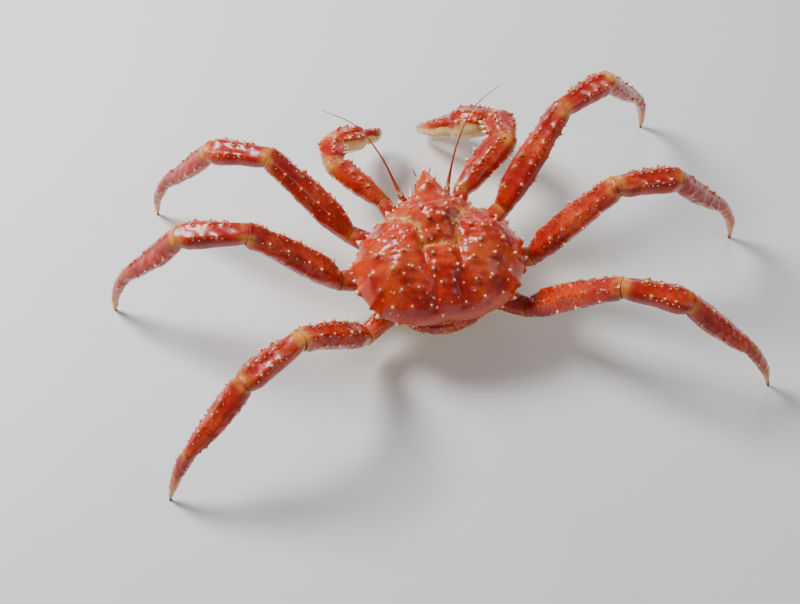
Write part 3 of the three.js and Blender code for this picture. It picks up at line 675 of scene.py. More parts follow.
    def height(self, x: Array, y: Array) -> Array:
        """Height of the top above the edge."""
        share = self.share(x, y)
        fade = 1 - share**6
        height = self.dome_rise * (1 - share**2.6) ** 0.55
        for across, forward, wide, long, rise in self.lobes:
            u, v = (np.abs(x) - across) / wide, (y - forward) / long
            height = height + fade * rise * np.exp(-u * u - v * v)
        for depth, width, chain in self.seams:
            height = height - fade * depth * bell(self.from_chain(np.abs(x), y, chain) / width)
        return height

    def normal(self, x: float, y: float) -> Array:
        """Which way the top faces at a spot."""
        step = 1.5
        xs = np.array([x + step, x - step, x, x])
        ys = np.array([y, y, y + step, y - step])
        east, west, north, south = self.height(xs, ys)
        return unit(np.array([(west - east) / (2 * step), (south - north) / (2 * step), 1.0]))

    def top_spine(self, x: float, y: float, length: float) -> Spine:
        """A spine on the top."""
        direction = unit(self.normal(x, y) + np.array(self.top_lean))
        foot = np.array([x, y, float(self.height(np.array([x]), np.array([y]))[0])])
        return Spine(self.stance.place(foot), self.stance.turn(direction), length)

    def edge_row(self, side: Side) -> list[tuple[float, float]]:
        """Bearing and length of the spines round one side's edge."""
        s = side.value
        return [
            (bearing + self.scatter * vary(i + 40 * s), length * (1 + 0.12 * vary(i + 7 * s)))
            for i, (bearing, length) in enumerate(self.edge_spines)
        ]

    def edge_spine(self, side: Side, bearing: float, length: float) -> Spine:
        """A spine on the edge."""
        outwards = heading(side, bearing)
        direction = unit(outwards + np.array(self.edge_lean))
        foot = outwards * float(self.radius(np.array([bearing]))[0]) + UP - direction
        return Spine(self.stance.place(foot), self.stance.turn(direction), length, self.edge_foot_share)

    def placed_spine(self, side: Side, form: Placed) -> Spine:
        """A spine given by its foot and direction."""
        foot, direction, length, radius = form
        turned = self.stance.turn(unit(np.array(direction, float) * side.mirror))
        return Spine(self.stance.place(np.array(foot, float) * side.mirror), turned, length, radius / length)

    def cusps(self, x: Array, y: Array) -> Array:
        """How far the edge runs out towards its spines."""
        bearing = self.bearing(x, y)
        most = np.zeros(len(x))
        for side in Side:
            here = x * side.value >= 0
            for place, length in self.edge_row(side):
                away = np.abs(bearing[here] - place) / (self.cusp_width * length / 9)
                most[here] = np.maximum(most[here], self.cusp_share * length * np.exp(-away))
        return most

    def spines(self) -> tuple[SpineSet, SpineSet]:
        """The spines on the top and the ones round the edge, on both sides."""
        top, edge = [], []
        for side in Side:
            s = side.value
            edge += [
                self.edge_spine(side, bearing, length).raised(self.cusp_share * length)
                for bearing, length in self.edge_row(side)
            ]
            edge += [self.placed_spine(side, form) for form in self.placed_spines]
            for i, (x, y, length) in enumerate(self.top_spines):
                dx, dy = self.scatter * vary(3 * i + s), self.scatter * vary(5 * i + 2 * s)
                top.append(self.top_spine(s * x + dx, y + dy, length * (1 + 0.15 * vary(i + 90 * s))))
        top += [self.top_spine(0, y, length) for y, length in self.mid_spines]
        top.append(self.placed_spine(Side.RIGHT, self.ridge_spine))
        return SpineSet(top), SpineSet(edge)

    def granule_set(self) -> SpineSet:
        """Blunt granules in an uneven row under the edge, on both sides."""
        found = []
        first, last = self.granule_span
        for side in Side:
            for i in range(self.granules):
                seed = 300 + 61 * side.value + i
                bearing = first + (last - first) * (i + 0.5 + 0.3 * vary(seed)) / self.granules
                outwards = heading(side, bearing)
                drop = 9.0 + 3.4 * vary(seed + 0.4)
                share = float(np.interp(drop, [5, 14, 22], [0.985, 0.93, 0.84]))
                foot = outwards * float(self.radius(np.array([bearing]))[0]) * share - UP * drop
                direction = self.stance.turn(unit(outwards - 0.45 * UP))
                found.append(Spine(self.stance.place(foot), direction, 1.9 + 0.7 * vary(seed + 0.7), 0.62))
        return SpineSet(found, 10, 1.5)

    def pimple_spots(self) -> Array:
        """Seeded spots of the fine pimples between the spines: across, forwards and size."""
        k = np.arange(self.pimples)
        golden_turn = math.pi * (3 - math.sqrt(5))
        turn = k * golden_turn
        out = np.sqrt((k + 0.5) / self.pimples) * 0.97
        draw = np.random.default_rng(21)
        x, y = out * np.cos(turn), out * np.sin(turn)
        radius = self.radius(self.bearing(x, y))
        spots = np.stack([x * radius, y * radius], axis=1) + draw.normal(0, 3.2, (self.pimples, 2))
        return np.column_stack([spots, draw.uniform(0.25, 1.0, self.pimples)])

    def pimple_height(self, x: Array, y: Array) -> Array:
        """Height of the fine pimples, 0 to 1."""
        most = np.zeros(len(x))
        for px, py, size in self.pimple_spots():
            near = (np.abs(x - px) < 5) & (np.abs(y - py) < 5)
            away = np.hypot(x[near] - px, y[near] - py) / (0.9 + 0.9 * size)
            most[near] = np.maximum(most[near], size * bell(away))
        return most

    def from_pit(self, x: Array, y: Array) -> Array:
        """Distance from each spot to the pit at the main seam on its side."""
        return np.hypot(np.abs(x) - self.pit[0], y - self.pit[1])

    def form(self, name: str) -> Piece:
        """The dome with its cusped edge and its flat underside."""
        piece, direction = blank_ball(name, self.cuts)
        polar, angle = polar_angles(direction)
        radius = self.radius(self.bearing(direction[:, 0], direction[:, 1]))
        # Most of the ball becomes the top, a band the rim, and its bottom the hidden underside
        edge = 118
        profile = Table([
            (0, 0, 0), (60, 0.62, 0), (90, 0.885, 0), (108, 0.978, 0), (edge, 1, 0), (124, 0.985, -5),
            (132, 0.93, -14), (142, 0.84, -22), (152, 0.6, -22), (180, 0, -22),
        ])
        share, level = profile.read(polar).T
        x, y = share * radius * np.cos(angle), share * radius * np.sin(angle)
        on_top = polar <= edge
        z = np.where(on_top, self.height(x, y), level)
        fade = np.where(on_top, 1 - share**8, 0)
        local = np.stack([x, y, z], axis=1)
        z = z + np.where(on_top, 0.8 * self.pimple_height(x, y), 0)
        uneven = sum(height * ripple(local, size, seed) for height, size, seed in self.ripples)
        z = z + fade * (uneven - self.sink)
        z = z - np.where(on_top, self.pit_depth * bell(self.from_pit(x, y) / self.pit_width), 0)
        reach = np.where(on_top, share**7, np.exp(level / 7))
        spread = 1 + reach * (self.cusps(x, y) - 0.4) / radius
        set_points(piece, self.stance.place(np.stack([x * spread, y * spread, z], axis=1)))
        return piece

    def rostrum(self, name: str) -> Piece:
        """The horn between the eyes."""
        rings = 70
        piece, ring, reach, angle = blank_tube(name, 56, rings)
        share = ring / (rings - 1)
        half_width, half_height = Table(self.rostrum_form).read(share).T
        root, tip = np.array(self.rostrum_root), np.array(self.rostrum_tip)
        points = root + np.outer(share, tip - root)
        points[:, 0] += reach * half_width * np.cos(angle)
        points[:, 2] += reach * half_height * np.sin(angle)
        set_points(piece, self.stance.place(points))
        return piece

    def rostrum_seam(self, points: Array) -> Array:
        """Where the rostrum grows out of the dome, 0 to 1."""
        root, tip = np.array(self.rostrum_root), np.array(self.rostrum_tip)
        share = (points[:, 1] - root[1]) / (tip[1] - root[1])
        half_width, half_height = Table(self.rostrum_form).read(np.clip(share, 0, 1)).T
        middle = root[2] + share * (tip[2] - root[2])
        away = np.hypot(points[:, 0] / half_width, (points[:, 2] - middle) / half_height)
        inside = (share > -0.1) & (share < 0.6)
        return np.where(inside, bell((away - 1.05) / 0.4) * ease(0.6, 0.4, share), 0)

    def colour(self, piece: Piece, top: SpineSet, edge: SpineSet) -> None:
        """Stores what the finish reads.

        Args:
            piece: The finished carapace.
            top: The spines on the top.
            edge: The spines round the edge.
        """
        points = read_points(piece)
        x, y, z = self.stance.back(points).T
        across = np.abs(x)
        main_seam = self.from_chain(across, y, self.seams[0][2])
        back_seam = self.from_chain(across, y, self.seams[1][2])
        link = np.where(across < self.pit[0], bell(y - 1), 0)
        spots = sum(bell(np.hypot(across - px, y - py) / size) for px, py, size in self.patches)
        dots = self.pimple_height(x, y) * (z > 3)
        horn = ease(91, 103, y) * (across < 6) * (z > 12)
        middle, flank = bell(np.hypot(x, y - 24) / 30), bell(np.hypot(across - 48, y + 22) / 30)
        wander = 3.2 * ripple(np.column_stack([x, y, z]), 17, 12)
        pits = bell(self.from_pit(x, y) / (self.pit_width + 1.2))
        yellow = [pits, 0.8 * link, 0.75 * spots, 0.35 * bell(main_seam / 3)]
        paint(
            piece,
            pale=0.95 * ease(-5, -18, z + wander * ease(0, -6, z)),
            tip=np.maximum.reduce([top.tips(points), edge.tips(points), horn, 0.5 * ease(0.3, 0.95, dots)]),
            halo=0.6 * np.maximum(top.halos(points), edge.halos(points)),
            seam=np.maximum.reduce(yellow),
            # Painted shade: a band along the sunken seams, which the finish darkens
            sunken=bell(np.minimum(main_seam, back_seam) / 6),
            edge=ease(0.9, 1.0, self.share(x, y)) * ease(-14, -3, z),
            warm=np.maximum(0.8 * middle, flank),
        )

    def build(self, finish: Material) -> None:
        """Makes and hands over the carapace."""
        piece = self.form("carapace_shell")
        combine(piece, self.rostrum("rostrum"))
        soften(piece, self.rostrum_seam(self.stance.back(read_points(piece))), 60)
        top, edge = self.spines()
        points = read_points(piece)
        under_top = top.swelling(points, *self.top_swelling)
        swell(piece, points, under_top + edge.swelling(points, *self.edge_swelling))
        top = top.risen(0.26)
        granules = self.granule_set()
        fuse_spines(piece, top, edge, granules)
        self.colour(piece, top, SpineSet(edge.spines + granules.spines))
        hand_over(piece, Slot.CARAPACE, finish, "carapace")


# Thorax and abdomen


@dataclass(frozen=True)
class Thorax:
    """The block of fused plates under the carapace, which carries the limbs."""

    stance: Stance
    half_width: float = 58.0
    half_length: float = 58.0
    power: float = 2.3
    rings: tuple[tuple[float, float], ...] = ((1, -22.3), (1, -31), (0.86, -44), (0.62, -52))
    furrows: tuple[float, ...] = (38, 12, -20, -48)
    # Upright furrows on the front, measured across from the midline
    face_furrows: tuple[float, ...] = (0, 16.5, 33)

    def points(self, direction: Array) -> Array:
        """The block's surface in the body's own frame, for directions from its middle."""
        polar, angle = polar_angles(direction)
        (_, top), (_, flank), (lower, low), (least, bottom) = self.rings
        table = Table([
            (0, 0, top), (55, 0.97, top), (66, 1, top - 1), (90, 1, flank), (115, lower, low),
            (130, least, bottom),
            (180, 0, bottom),
        ])
        share, level = table.read(polar).T
        c, s = section(angle, self.power)
        return np.stack([c * share * self.half_width, s * share * self.half_length, level], axis=1)

    def build(self, finish: Material) -> None:
        """Makes and hands over the thorax."""
        piece, direction = blank_ball("thorax_plates", 44)
        local = self.points(direction)
        points = self.stance.place(local)
        set_points(piece, points)
        across, forward, up = np.abs(local[:, 0]), local[:, 1], local[:, 2]
        below = ease(-26, -34, up)
        furrow = np.maximum.reduce([bell((forward - place - 0.12 * across) / 1.8) for place in self.furrows])
        depth = below * (1.4 * furrow + 1.2 * bell(across / 2.0)) + 0.25 * below * ripple(local, 8, 11)
        face = ease(30, 46, forward) * ease(-50, -44, up)
        upright = np.maximum.reduce([bell((across - place) / 1.7) for place in self.face_furrows])
        depth += face * (1.3 * upright + 0.45 * ripple(local, 6, 13))
        swell(piece, points, -depth)
        paint(
            piece, pale=1 - 0.5 * face * np.clip(ripple(local, 12, 14), 0, 1),
            seam=np.maximum(0.6 * furrow * below, 0.8 * upright * face),
        )
        hand_over(piece, Slot.PALE, finish, "thorax")


@dataclass(frozen=True)
class Abdomen:
    """The broad plate folded under the thorax."""

    stance: Stance
    # Place forwards and up, half width, half thickness, and how far the sides bend in towards the thorax
    sections: tuple[tuple[float, ...], ...] = (
        (-57, -19, 40, 6, 5),
        (-65.5, -26, 42, 7, 8),
        (-69.5, -35, 43, 7.5, 10),
        (-68, -45, 42.5, 7.5, 9),
        (-60, -53.5, 41, 7.2, 5),
        (-46, -58, 38.5, 7, 1.5),
        (-24, -59, 35, 6.8, 1),
        (4, -58.5, 28, 6.5, 1),
        (26, -57.5, 18, 6, 1),
        (38, -57, 6, 5, 0),
    )
    power: float = 2.3
    # Where one plate ends and the next begins, as shares of its length, and where the side plates begin
    creases: tuple[float, ...] = (0.13, 0.3, 0.45, 0.6, 0.73, 0.86)
    side_plate: float = 0.55
    tubercles: int = 54
    thorax: Thorax = field(default_factory=lambda: Thorax(Stance()))

    def spots(self, t: Array, angle: Array, reach: Array) -> tuple[Array, Array]:
        """Points on the plate in the body's own frame.

        Args:
            t: Share of its length, 0 at the carapace and 1 at its tip under the mouth.
            angle: Angle round its section.
            reach: 1 on its surface and 0 on its centre line.

        Returns:
            The points, and which way is away from the thorax at each.
        """
        data = np.array(self.sections)
        path = Curve(np.column_stack([np.zeros(len(data)), data[:, :2]]))
        table = Table(np.column_stack([np.linspace(0, 1, len(data)), data[:, 2:]]))
        half_width, half_thickness, bend = table.read(t).T
        step = 1e-3
        along = unit(path.at(np.minimum(t + step, 1)) - path.at(np.maximum(t - step, 0)))
        outwards = np.stack([np.zeros(len(t)), along[:, 2], -along[:, 1]], axis=1)
        c, s = section(angle, self.power)
        local = path.at(t) + outwards * (reach * (s * half_thickness - bend * c * c))[:, None]
        local[:, 0] += reach * c * half_width
        return local, outwards

    def tubercle_set(self) -> SpineSet:
        """Blunt tubercles over the part that shows behind the carapace, thinning out below."""
        found = []
        for k in range(self.tubercles):
            t = 0.06 + 0.4 * ((k + 0.5) / self.tubercles) ** 1.3
            across = 0.88 * vary(11 * k + 5)
            angle = math.acos(across)
            local, outwards = self.spots(np.array([t]), np.array([angle]), np.ones(1))
            lean = unit(outwards[0] + np.array([0.5 * across, 0, 0.15]))
            length = (2.7 - 2.2 * t) * (1 + 0.25 * vary(k + 0.5))
            found.append(Spine(self.stance.place(local[0]), self.stance.turn(lean), length, 0.55))
        return SpineSet(found, 10, 1.5)

    def build(self, finish: Material) -> None:
        """Makes and hands over the abdomen."""
        rings = 130
        piece, ring, reach, angle = blank_tube("abdomen_plates", 132, rings)
        t = ring / (rings - 1)
        local, _ = self.spots(t, angle, reach)
        c, _ = section(angle, self.power)
        # Each plate stands a little over the crease before the next, and has a side plate left and right
        crease = np.zeros(len(t))
        crown = np.zeros(len(t))
        for first, place in zip((0.0, *self.creases), (*self.creases, 1.0)):
            bent = t - place - 0.025 * np.abs(c) ** 1.5
            crease = np.maximum(crease, bell(bent / 0.009) * (place < 1))
            middle = (t - first - 0.025 * np.abs(c) ** 1.5) / (place - first)
            crown = np.maximum(crown, np.sin(math.pi * np.clip(middle, 0, 1)) ** 0.7)
        side_crease = bell((np.abs(c) - self.side_plate) / 0.04) * ease(0.95, 0.8, t)
        points = self.stance.place(local)
        set_points(piece, points)
        lumps = np.clip(ripple(local, 6, 31), 0, 1) ** 2 + 0.3 * ripple(local, 14, 32)
        groove = np.maximum(1.5 * crease, 1.1 * side_crease)
        depth = groove - (0.5 * lumps + 0.7 * crown) * (1 - np.clip(groove, 0, 1)) + 0.4
        swell(piece, points, -reach * depth)
        tubercles = self.tubercle_set()
        fuse_spines(piece, tubercles)
        cutter, direction = blank_ball("thorax_cut", 20)
        block = self.thorax.points(direction)
        block[:, :2] *= 1.006
        block[:, 2] += np.where(block[:, 2] < -50, -0.4, 0.0) + np.where(block[:, 2] > -23, 0.3, 0.0)
        set_points(cutter, self.stance.place(block))
        combine(piece, cutter, "DIFFERENCE")
        points = read_points(piece)
        local = self.stance.back(points)
        below = ease(-42, -56, local[:, 2] + 3.5 * ripple(local, 15, 33))
        tips, halos = tubercles.tips(points), tubercles.halos(points)
        paint(piece, pale=0.12 + 0.8 * below, tip=0.8 * tips, halo=0.5 * halos)
        hand_over(piece, Slot.PALE, finish, "abdomen")


# Feelers, eyes and mouth legs


@dataclass(frozen=True)
class Feeler:
    """A tapered line of rings, such as a feeler, an eye stalk or a mouth leg, one on each side."""

    stance: Stance
    label: str
    slot: Slot
    points: tuple[tuple[float, float, float], ...]
    radii: tuple[float, ...]
    sides: int = 20
    rings: int = 160
    ring_pitch: float = 0.0
    ring_depth: float = 0.0
    joints: tuple[float, ...] = ()
    # Spikes: share along the line, direction in the body's own frame on the right-hand side, and length
    spikes: tuple[tuple[float, tuple[float, float, float], float], ...] = ()
    dark_from: float = 2.0
    blush: float = 0.0
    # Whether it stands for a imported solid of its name
    stands: bool = True

    def line(self, side: Side, count: int) -> tuple[Array, Array, Array]:
        """Even shares of the line's length on one side, and the points and the radii there."""
        shares = np.linspace(0, 1, count)
        radii = Table(np.column_stack([np.linspace(0, 1, len(self.radii)), self.radii])).read(shares)[:, 0]
        return shares, Curve(self.stance.place(np.array(self.points) * side.mirror)).even(shares), radii

    def build(self, side: Side, finish: Material) -> None:
        """Makes and hands over the piece of one side.

        Args:
            side: The side that it stands on.
            finish: Its material.
        """
        piece, ring, wall, angle = blank_tube(f"{self.label}_{side.label}_form", self.sides, self.rings)
        shares, line, radius = self.line(side, self.rings)
        across, third = Curve.frames(line)
        length = float(np.linalg.norm(np.diff(line, axis=0), axis=1).sum())
        if self.ring_pitch:
            radius = radius * (1 + self.ring_depth * np.sin(2 * math.pi * shares * length / self.ring_pitch))
        for joint in self.joints:
            before = (joint - shares) * length
            radius = radius * (1 + 0.1 * bell((before - 1.8) / 1.6) - 0.26 * bell(before / 0.8))
        reach = wall * radius[ring]
        points = line[ring] + across[ring] * (reach * np.cos(angle))[:, None]
        points += third[ring] * (reach * np.sin(angle))[:, None]
        set_points(piece, points)
        spikes = []
        for share, direction, height in self.spikes:
            here = int(round(share * (self.rings - 1)))
            lean = self.stance.turn(unit(np.array(direction) * side.mirror))
            spikes.append(Spine(line[here] + lean * radius[here] * 0.8, lean, height, 0.36))
        spines = SpineSet(spikes, 10, 1.2)
        fuse_spines(piece, spines)
        points = read_points(piece)
        nearest = np.argmin(((points[:, None, :] - line[None, ::4, :]) ** 2).sum(axis=2), axis=1) * 4
        share = shares[nearest]
        ends = [bell((share - joint) * length / 2.2) for joint in self.joints]
        paint(
            piece, nail=ease(self.dark_from, self.dark_from + 0.03, share),
            pale=self.blush * (1 + 0.5 * ripple(points, 9, 41)), tip=spines.tips(points),
            joint=np.maximum.reduce([np.zeros(len(points)), *ends]),
        )
        hand_over(piece, self.slot, finish, *([f"{self.label}_{side.label}"] if self.stands else []))


@dataclass(frozen=True)
class MouthBristles:
    """The brush of stiff bristles on the outer part of a mouth leg."""

    leg: Feeler
    count: int = 90
    start: float = 0.5
    end: float = 0.99
    length: float = 5.2

    def build(self, side: Side, finish: Material) -> None:
        """Makes and hands over the bristles of one side.

        Args:
            side: The side of the mouth leg.
            finish: Their material.
        """
        steps = 80
        _, line, radii = self.leg.line(side, steps)
        along = unit(np.gradient(line, axis=0))
        inwards = self.leg.stance.turn(np.array([-side.value, 0.0, 0.0]))
        forwards = self.leg.stance.turn(np.array([0.0, 1.0, 0.0]))
        found = []
        for k in range(self.count):
            seed = 500 + 29 * side.value + k
            share = self.start + (self.end - self.start) * (k + 0.5) / self.count
            here = int(round(share * (steps - 1)))
            turn = math.radians(-35 + 85 * vary(seed))
            out = inwards * math.cos(turn) + forwards * math.sin(turn)
            out = unit(out - along[here] * (out @ along[here]))
            direction = unit(out + along[here] * (0.55 + 0.35 * vary(seed + 0.3)))
            length = self.length * (1 + 0.3 * vary(seed + 0.6)) * (0.75 + 0.5 * share)
            found.append(Spine(line[here] + out * radii[here] * 0.9, direction, length, 0.055))
        name = f"{self.leg.label}_bristles_{side.label}"
        hand_over(SpineSet(found, 5, 0.8).mesh(name), Slot.FEELER, finish)


# Limb plates


@dataclass
class LimbPlate:
    """One straight or bowed plate of a limb between two joints, its ends in the planes of the joints."""

    start: Array
    end: Array
    side: Side
    form: Sequence[Sequence[float]]
    start_plane: Array | None = None
    end_plane: Array | None = None
    size: float = 1.0
    bow: float = 0.0
    roll: float = 0.0
    power: float = 2.5
    blend: float = 16.0

    def __post_init__(self) -> None:
        """Works out the plate's own directions."""
        self.length = float(np.linalg.norm(self.end - self.start))
        self.axis = (self.end - self.start) / self.length
        self.table = Table(self.form)
        if self.start_plane is None:
            self.start_plane = self.axis
        if self.end_plane is None:
            self.end_plane = self.axis
        level = unit(np.cross(UP, self.axis)) * self.side.value
        above = unit(UP - self.axis * (UP @ self.axis))
        c, s = math.cos(self.roll), math.sin(self.roll)
        self.front = level * c + above * s
        self.top = above * c - level * s

    def profile(self, share: Array) -> tuple[Array, Array, Array, Array]:
        """Half width, half height, shift forwards and bow upwards at shares of the length."""
        values = self.table.read(share) * self.size
        shift = values[:, 2] if values.shape[1] > 2 else np.zeros(len(values))
        return values[:, 0], values[:, 1], shift, self.bow * np.sin(math.pi * np.clip(share, 0, 1))

    def at(self, share: Array, angle: Array, reach: Array, inwards: Array | float = 0.0) -> Array:
        """Points on the plate.

        Args:
            share: Share of its length.
            angle: Angle round it, 0 at its front and a quarter turn at its top.
            reach: 1 on its surface and 0 on its centre line.
            inwards: Distance that a point of an end face stands back from the joint.

        Returns:
            One point for each entry.
        """
        half_width, half_height, shift, bow = self.profile(share)
        c, s = section(angle, self.power)
        across = np.outer(reach * c * half_width + shift, self.front)
        across += np.outer(reach * s * half_height + bow, self.top)
        points = self.start + np.outer(share * self.length, self.axis) + across
        for away, plane in (
            (share * self.length, self.start_plane),
            ((1 - share) * self.length, self.end_plane),
        ):
            weight = np.maximum(0, 1 - away / self.blend)
            points += np.outer(-weight * (across @ plane) / (self.axis @ plane), self.axis)
        return points + np.outer(inwards * np.where(share < 0.5, 1, -1), self.axis)

    def spot(self, share: float, angle: float, reach: float = 1.0) -> Array:
        """One point on the plate."""
        return self.at(np.array([share]), np.array([angle]), np.array([reach]))[0]

    def normal(self, share: float, angle: float) -> Array:
        """Which way the surface faces at a spot."""
        around = self.spot(share, angle + 0.05) - self.spot(share, angle - 0.05)
        along = self.spot(min(share + 0.02, 1), angle) - self.spot(max(share - 0.02, 0), angle)
        facing = unit(np.cross(around, along))
        outwards = self.spot(share, angle) - self.spot(share, angle, 0)
        return -facing if facing @ outwards < 0 else facing

    def spines(self, rows: Sequence[SpineRow], seed: int, lean: float = 0.35) -> SpineSet:
        """The plate's spines, one row after another, leaning towards its far end."""
        found = []
        along, round_it, longer = SpineRow.varied
        for k, row in enumerate(rows):
            for i in range(row.count):
                place = seed + 17 * k + i
                share = row.start + (row.end - row.start) * (i + 0.5 + along * vary(place)) / row.count
                turn = math.radians(row.angle + round_it * vary(place + 0.5))
                direction = unit(self.normal(share, turn) + self.axis * lean)
                length = self.size * row.length * (1 + longer * vary(place + 0.3))
                found.append(Spine(self.spot(share, turn), direction, length))
        return SpineSet(found)

    def local(self, points: Array) -> tuple[Array, Array]:
        """Share along the plate and angle round it of points on it."""
        rest = points - self.start
        share = rest @ self.axis / self.length
        _, _, shift, bow = self.profile(share)
        return share, np.arctan2(rest @ self.top - bow, rest @ self.front - shift)

    def body(self, name: str, rows: Sequence[SpineRow], spacing: float = 1.5, sides: int = 64) -> Piece:
        """The plate's body with rolled rims at its joints and low ridges under its spines.

        Args:
            name: The piece's name.
            rows: Its rows of spines.
            spacing: Distance between rings.
            sides: Points in each ring.

        Returns:
            The piece.
        """
        rim = 1.3
        width = float(self.table.values[:, :2].max()) * self.size
        # The rim's roll: reach, and distance back from the joint, both in rims
        roll = ((2.1, 1.4), (1.6, 0.5), (1, 0.0), (0.4, 0.12), (0.08, 0.5))
        lip = [(0.6, rim * 1.5), *((1 - reach * rim / width, back * rim) for reach, back in roll)]
        count = max(12, int(self.length / spacing))
        start = [(0.0, reach, back) for reach, back in lip]
        middle = [(share, 1.0, 0.0) for share in np.linspace(0, 1, count + 2)[1:-1]]
        end = [(1.0, reach, back) for reach, back in reversed(lip)]
        table = np.array(start + middle + end)
        piece, ring, wall, angle = blank_tube(name, sides, len(table))
        share, reach, inwards = table[ring].T
        points = self.at(share, angle, wall * reach, inwards)
        set_points(piece, points)
        fade = ease(0, 3, np.minimum(share, 1 - share) * self.length) * (wall * reach > 0.99)
        swell(piece, points, fade * ridges(rows, share, angle))
        return piece


def ridges(rows: Sequence[SpineRow], share: Array, angle: Array) -> Array:
    """How far points of a plate stand out in low ridges under its rows of spines."""
    most = np.zeros(len(share))
    for row in rows:
        turn = np.angle(np.exp(1j * (angle - math.radians(row.angle))))
        inside = ease(row.start - 0.12, row.start + 0.05, share) * ease(row.end + 0.12, row.end - 0.05, share)
        most = np.maximum(most, inside * bell(turn / 0.2))
    return most - 0.35


def joint_plane(before: Array, after: Array) -> Array:
    """The plane halfway between two plates' directions."""
    return unit(before + after)


@dataclass(frozen=True)
class Hip:
    """Where a limb leaves the thorax: its place in the body's own frame, its bearing and its length."""

    stance: Stance
    side: Side
    across: float
    forward: float
    bearing: float
    length: float
    level: float = -38.0
    depth: float = 14.0
    lift: float = 2.0

    def line(self) -> tuple[Array, Array]:
        """The start inside the thorax and the knee of the first plate."""
        root = np.array([self.side.value * self.across, self.forward, self.level])
        direction = heading(self.side, self.bearing, self.lift)
        ends = root - direction * self.depth, root + direction * self.length
        return self.stance.place(ends[0]), self.stance.place(ends[1])


def joint_skin(plates: Sequence[LimbPlate], name: str, finish: Material, slot: Slot) -> None:
    """The soft skins in a limb's joints: a bulged disc inside each pair of rims.

    Args:
        plates: The limb's plates in order; a skin stands at each start but the first.
        name: The piece's name.
        finish: The skins' material.
        slot: A material slot; not used.
    """
    # Place along the limb, and reach as a share of the plate's
    half = [(0.6, 0.9), (1.6, 0.86), (3.2, 0.72), (3.5, 0.4)]
    rows = np.array([(-along, reach) for along, reach in reversed(half)] + half)
    master, ring, wall, angle = blank_tube(name, 48, len(rows))
    along, reach = rows[ring].T
    places = [
        plate.at(np.zeros(len(ring)), angle, wall * reach) + np.outer(along, plate.start_plane)
        for plate in plates[1:]
    ]
    hand_over(join_copies(name, master, places), slot, finish)


def lengthwise(plate: LimbPlate, points: Array) -> tuple[Array, Array, Array]:
    """Share along a plate, its pale underside and the nearness of its joints, for its points."""
    share, angle = plate.local(points)
    pale = ease(-0.35, -0.75, np.sin(angle) + 0.18 * ripple(points, 16, 5))
    inner = np.minimum(share, 1 - share) * plate.length
    return share, pale, bell(np.maximum(inner, 0) / 5.5)


@dataclass(frozen=True)
class Grain:
    """How uneven a limb's plates are: a fine and a broad ripple, the first seed and how far all sinks."""

    fine: float
    broad: float
    broad_size: float
    seed: int
    sink: float


def dress(
    piece: Piece, plate: LimbPlate, rows: Sequence[SpineRow], seeds: tuple[int, int], grain: Grain,
    number: int,
) -> tuple[SpineSet, SpineSet]:
    """Gives a plate's body its unevenness, its spines and the small tubercles beside them.

    Args:
        piece: The plate's body.
        plate: Its form.
        rows: Its rows of spines.
        seeds: Seeds of the spines and of the tubercles.
        grain: How uneven it is.
        number: Its place in the limb.

    Returns:
        The spines and the tubercles.
    """
    spines = plate.spines(rows, seeds[0])
    fine = plate.spines([row.fine() for row in rows], seeds[1])
    points = read_points(piece)
    share, _ = plate.local(points)
    inner = ease(0, 4, np.minimum(share - plate.table.shares[0], 1 - share) * plate.length)
    lift = spines.swelling(points, 1.7, 0.2) + fine.swelling(points, 1.6, 0.2) - grain.sink
    seed = grain.seed + number
    lift += grain.fine * ripple(points, 7, seed) + grain.broad * ripple(points, grain.broad_size, seed + 10)
    swell(piece, points, inner * lift)
    spines, fine = spines.risen(0.18), fine.risen(0.15)
    fuse_spines(piece, spines, fine)
    return spines, fine


def paint_spines(piece: Piece, spines: SpineSet, fine: SpineSet) -> None:
    """Stores where a plate's spines and tubercles stand, for the finish to read."""
    points = read_points(piece)
    paint(
        piece, tip=np.maximum(spines.tips(points), fine.tips(points)),
        halo=np.maximum(spines.halos(points), 0.7 * fine.halos(points)),
    )


# By plate: rows of share, half width, half height and shift forwards, and rows of spines
Forms = dict[str, tuple[tuple[float, ...], ...]]
Rows = dict[str, tuple[SpineRow, ...]]


def limb_chain(
    side: Side, ends: tuple[Array, Array], axes: dict[str, Array], lengths: dict[str, float],
    forms: Forms, sizes: tuple[float, float], bows: dict[str, float],
) -> tuple[dict[str, LimbPlate], Array, Array]:
    """A limb's plates from its base to the last but one, with a gap in each joint.

    Args:
        side: The side that it stands on.
        ends: Start and end of its base.
        axes: Direction of each plate after the base.
        lengths: Length of each of these.
        forms: Form of each plate.
        sizes: Size of the base and of the others.
        bows: How far plates bow upwards.

    Returns:
        The plates, the last joint and the plane of that joint.
    """
    names = list(axes)
    before = unit(ends[1] - ends[0])
    plane = joint_plane(before, axes[names[0]])
    base = LimbPlate(ends[0], ends[1] - plane * GAP / 2, side, forms["base"], end_plane=plane, size=sizes[0])
    made, joint = {"base": base}, ends[1]
    for name, after in zip(names, names[1:]):
        far = joint + axes[name] * lengths[name]
        start_plane, end_plane = joint_plane(before, axes[name]), joint_plane(axes[name], axes[after])
        made[name] = LimbPlate(
            joint + start_plane * GAP / 2, far - end_plane * GAP / 2, side, forms[name], start_plane,
            end_plane, sizes[1], bows.get(name, 0.0),
        )
        joint, before = far, axes[name]
    return made, joint, joint_plane(before, axes[names[-1]])


@dataclass(frozen=True)
class LegPair:
    """How a pair of walking legs is held, in degrees; a lift is a plate's slope above level."""

    name: str
    number: int
    hip: tuple[float, float]
    sweep: float
    scale: float
    lifts: dict[str, float]
    turn: float
    # Small differences that keep the two sides from being mirror images
    variations: dict[Side, float]


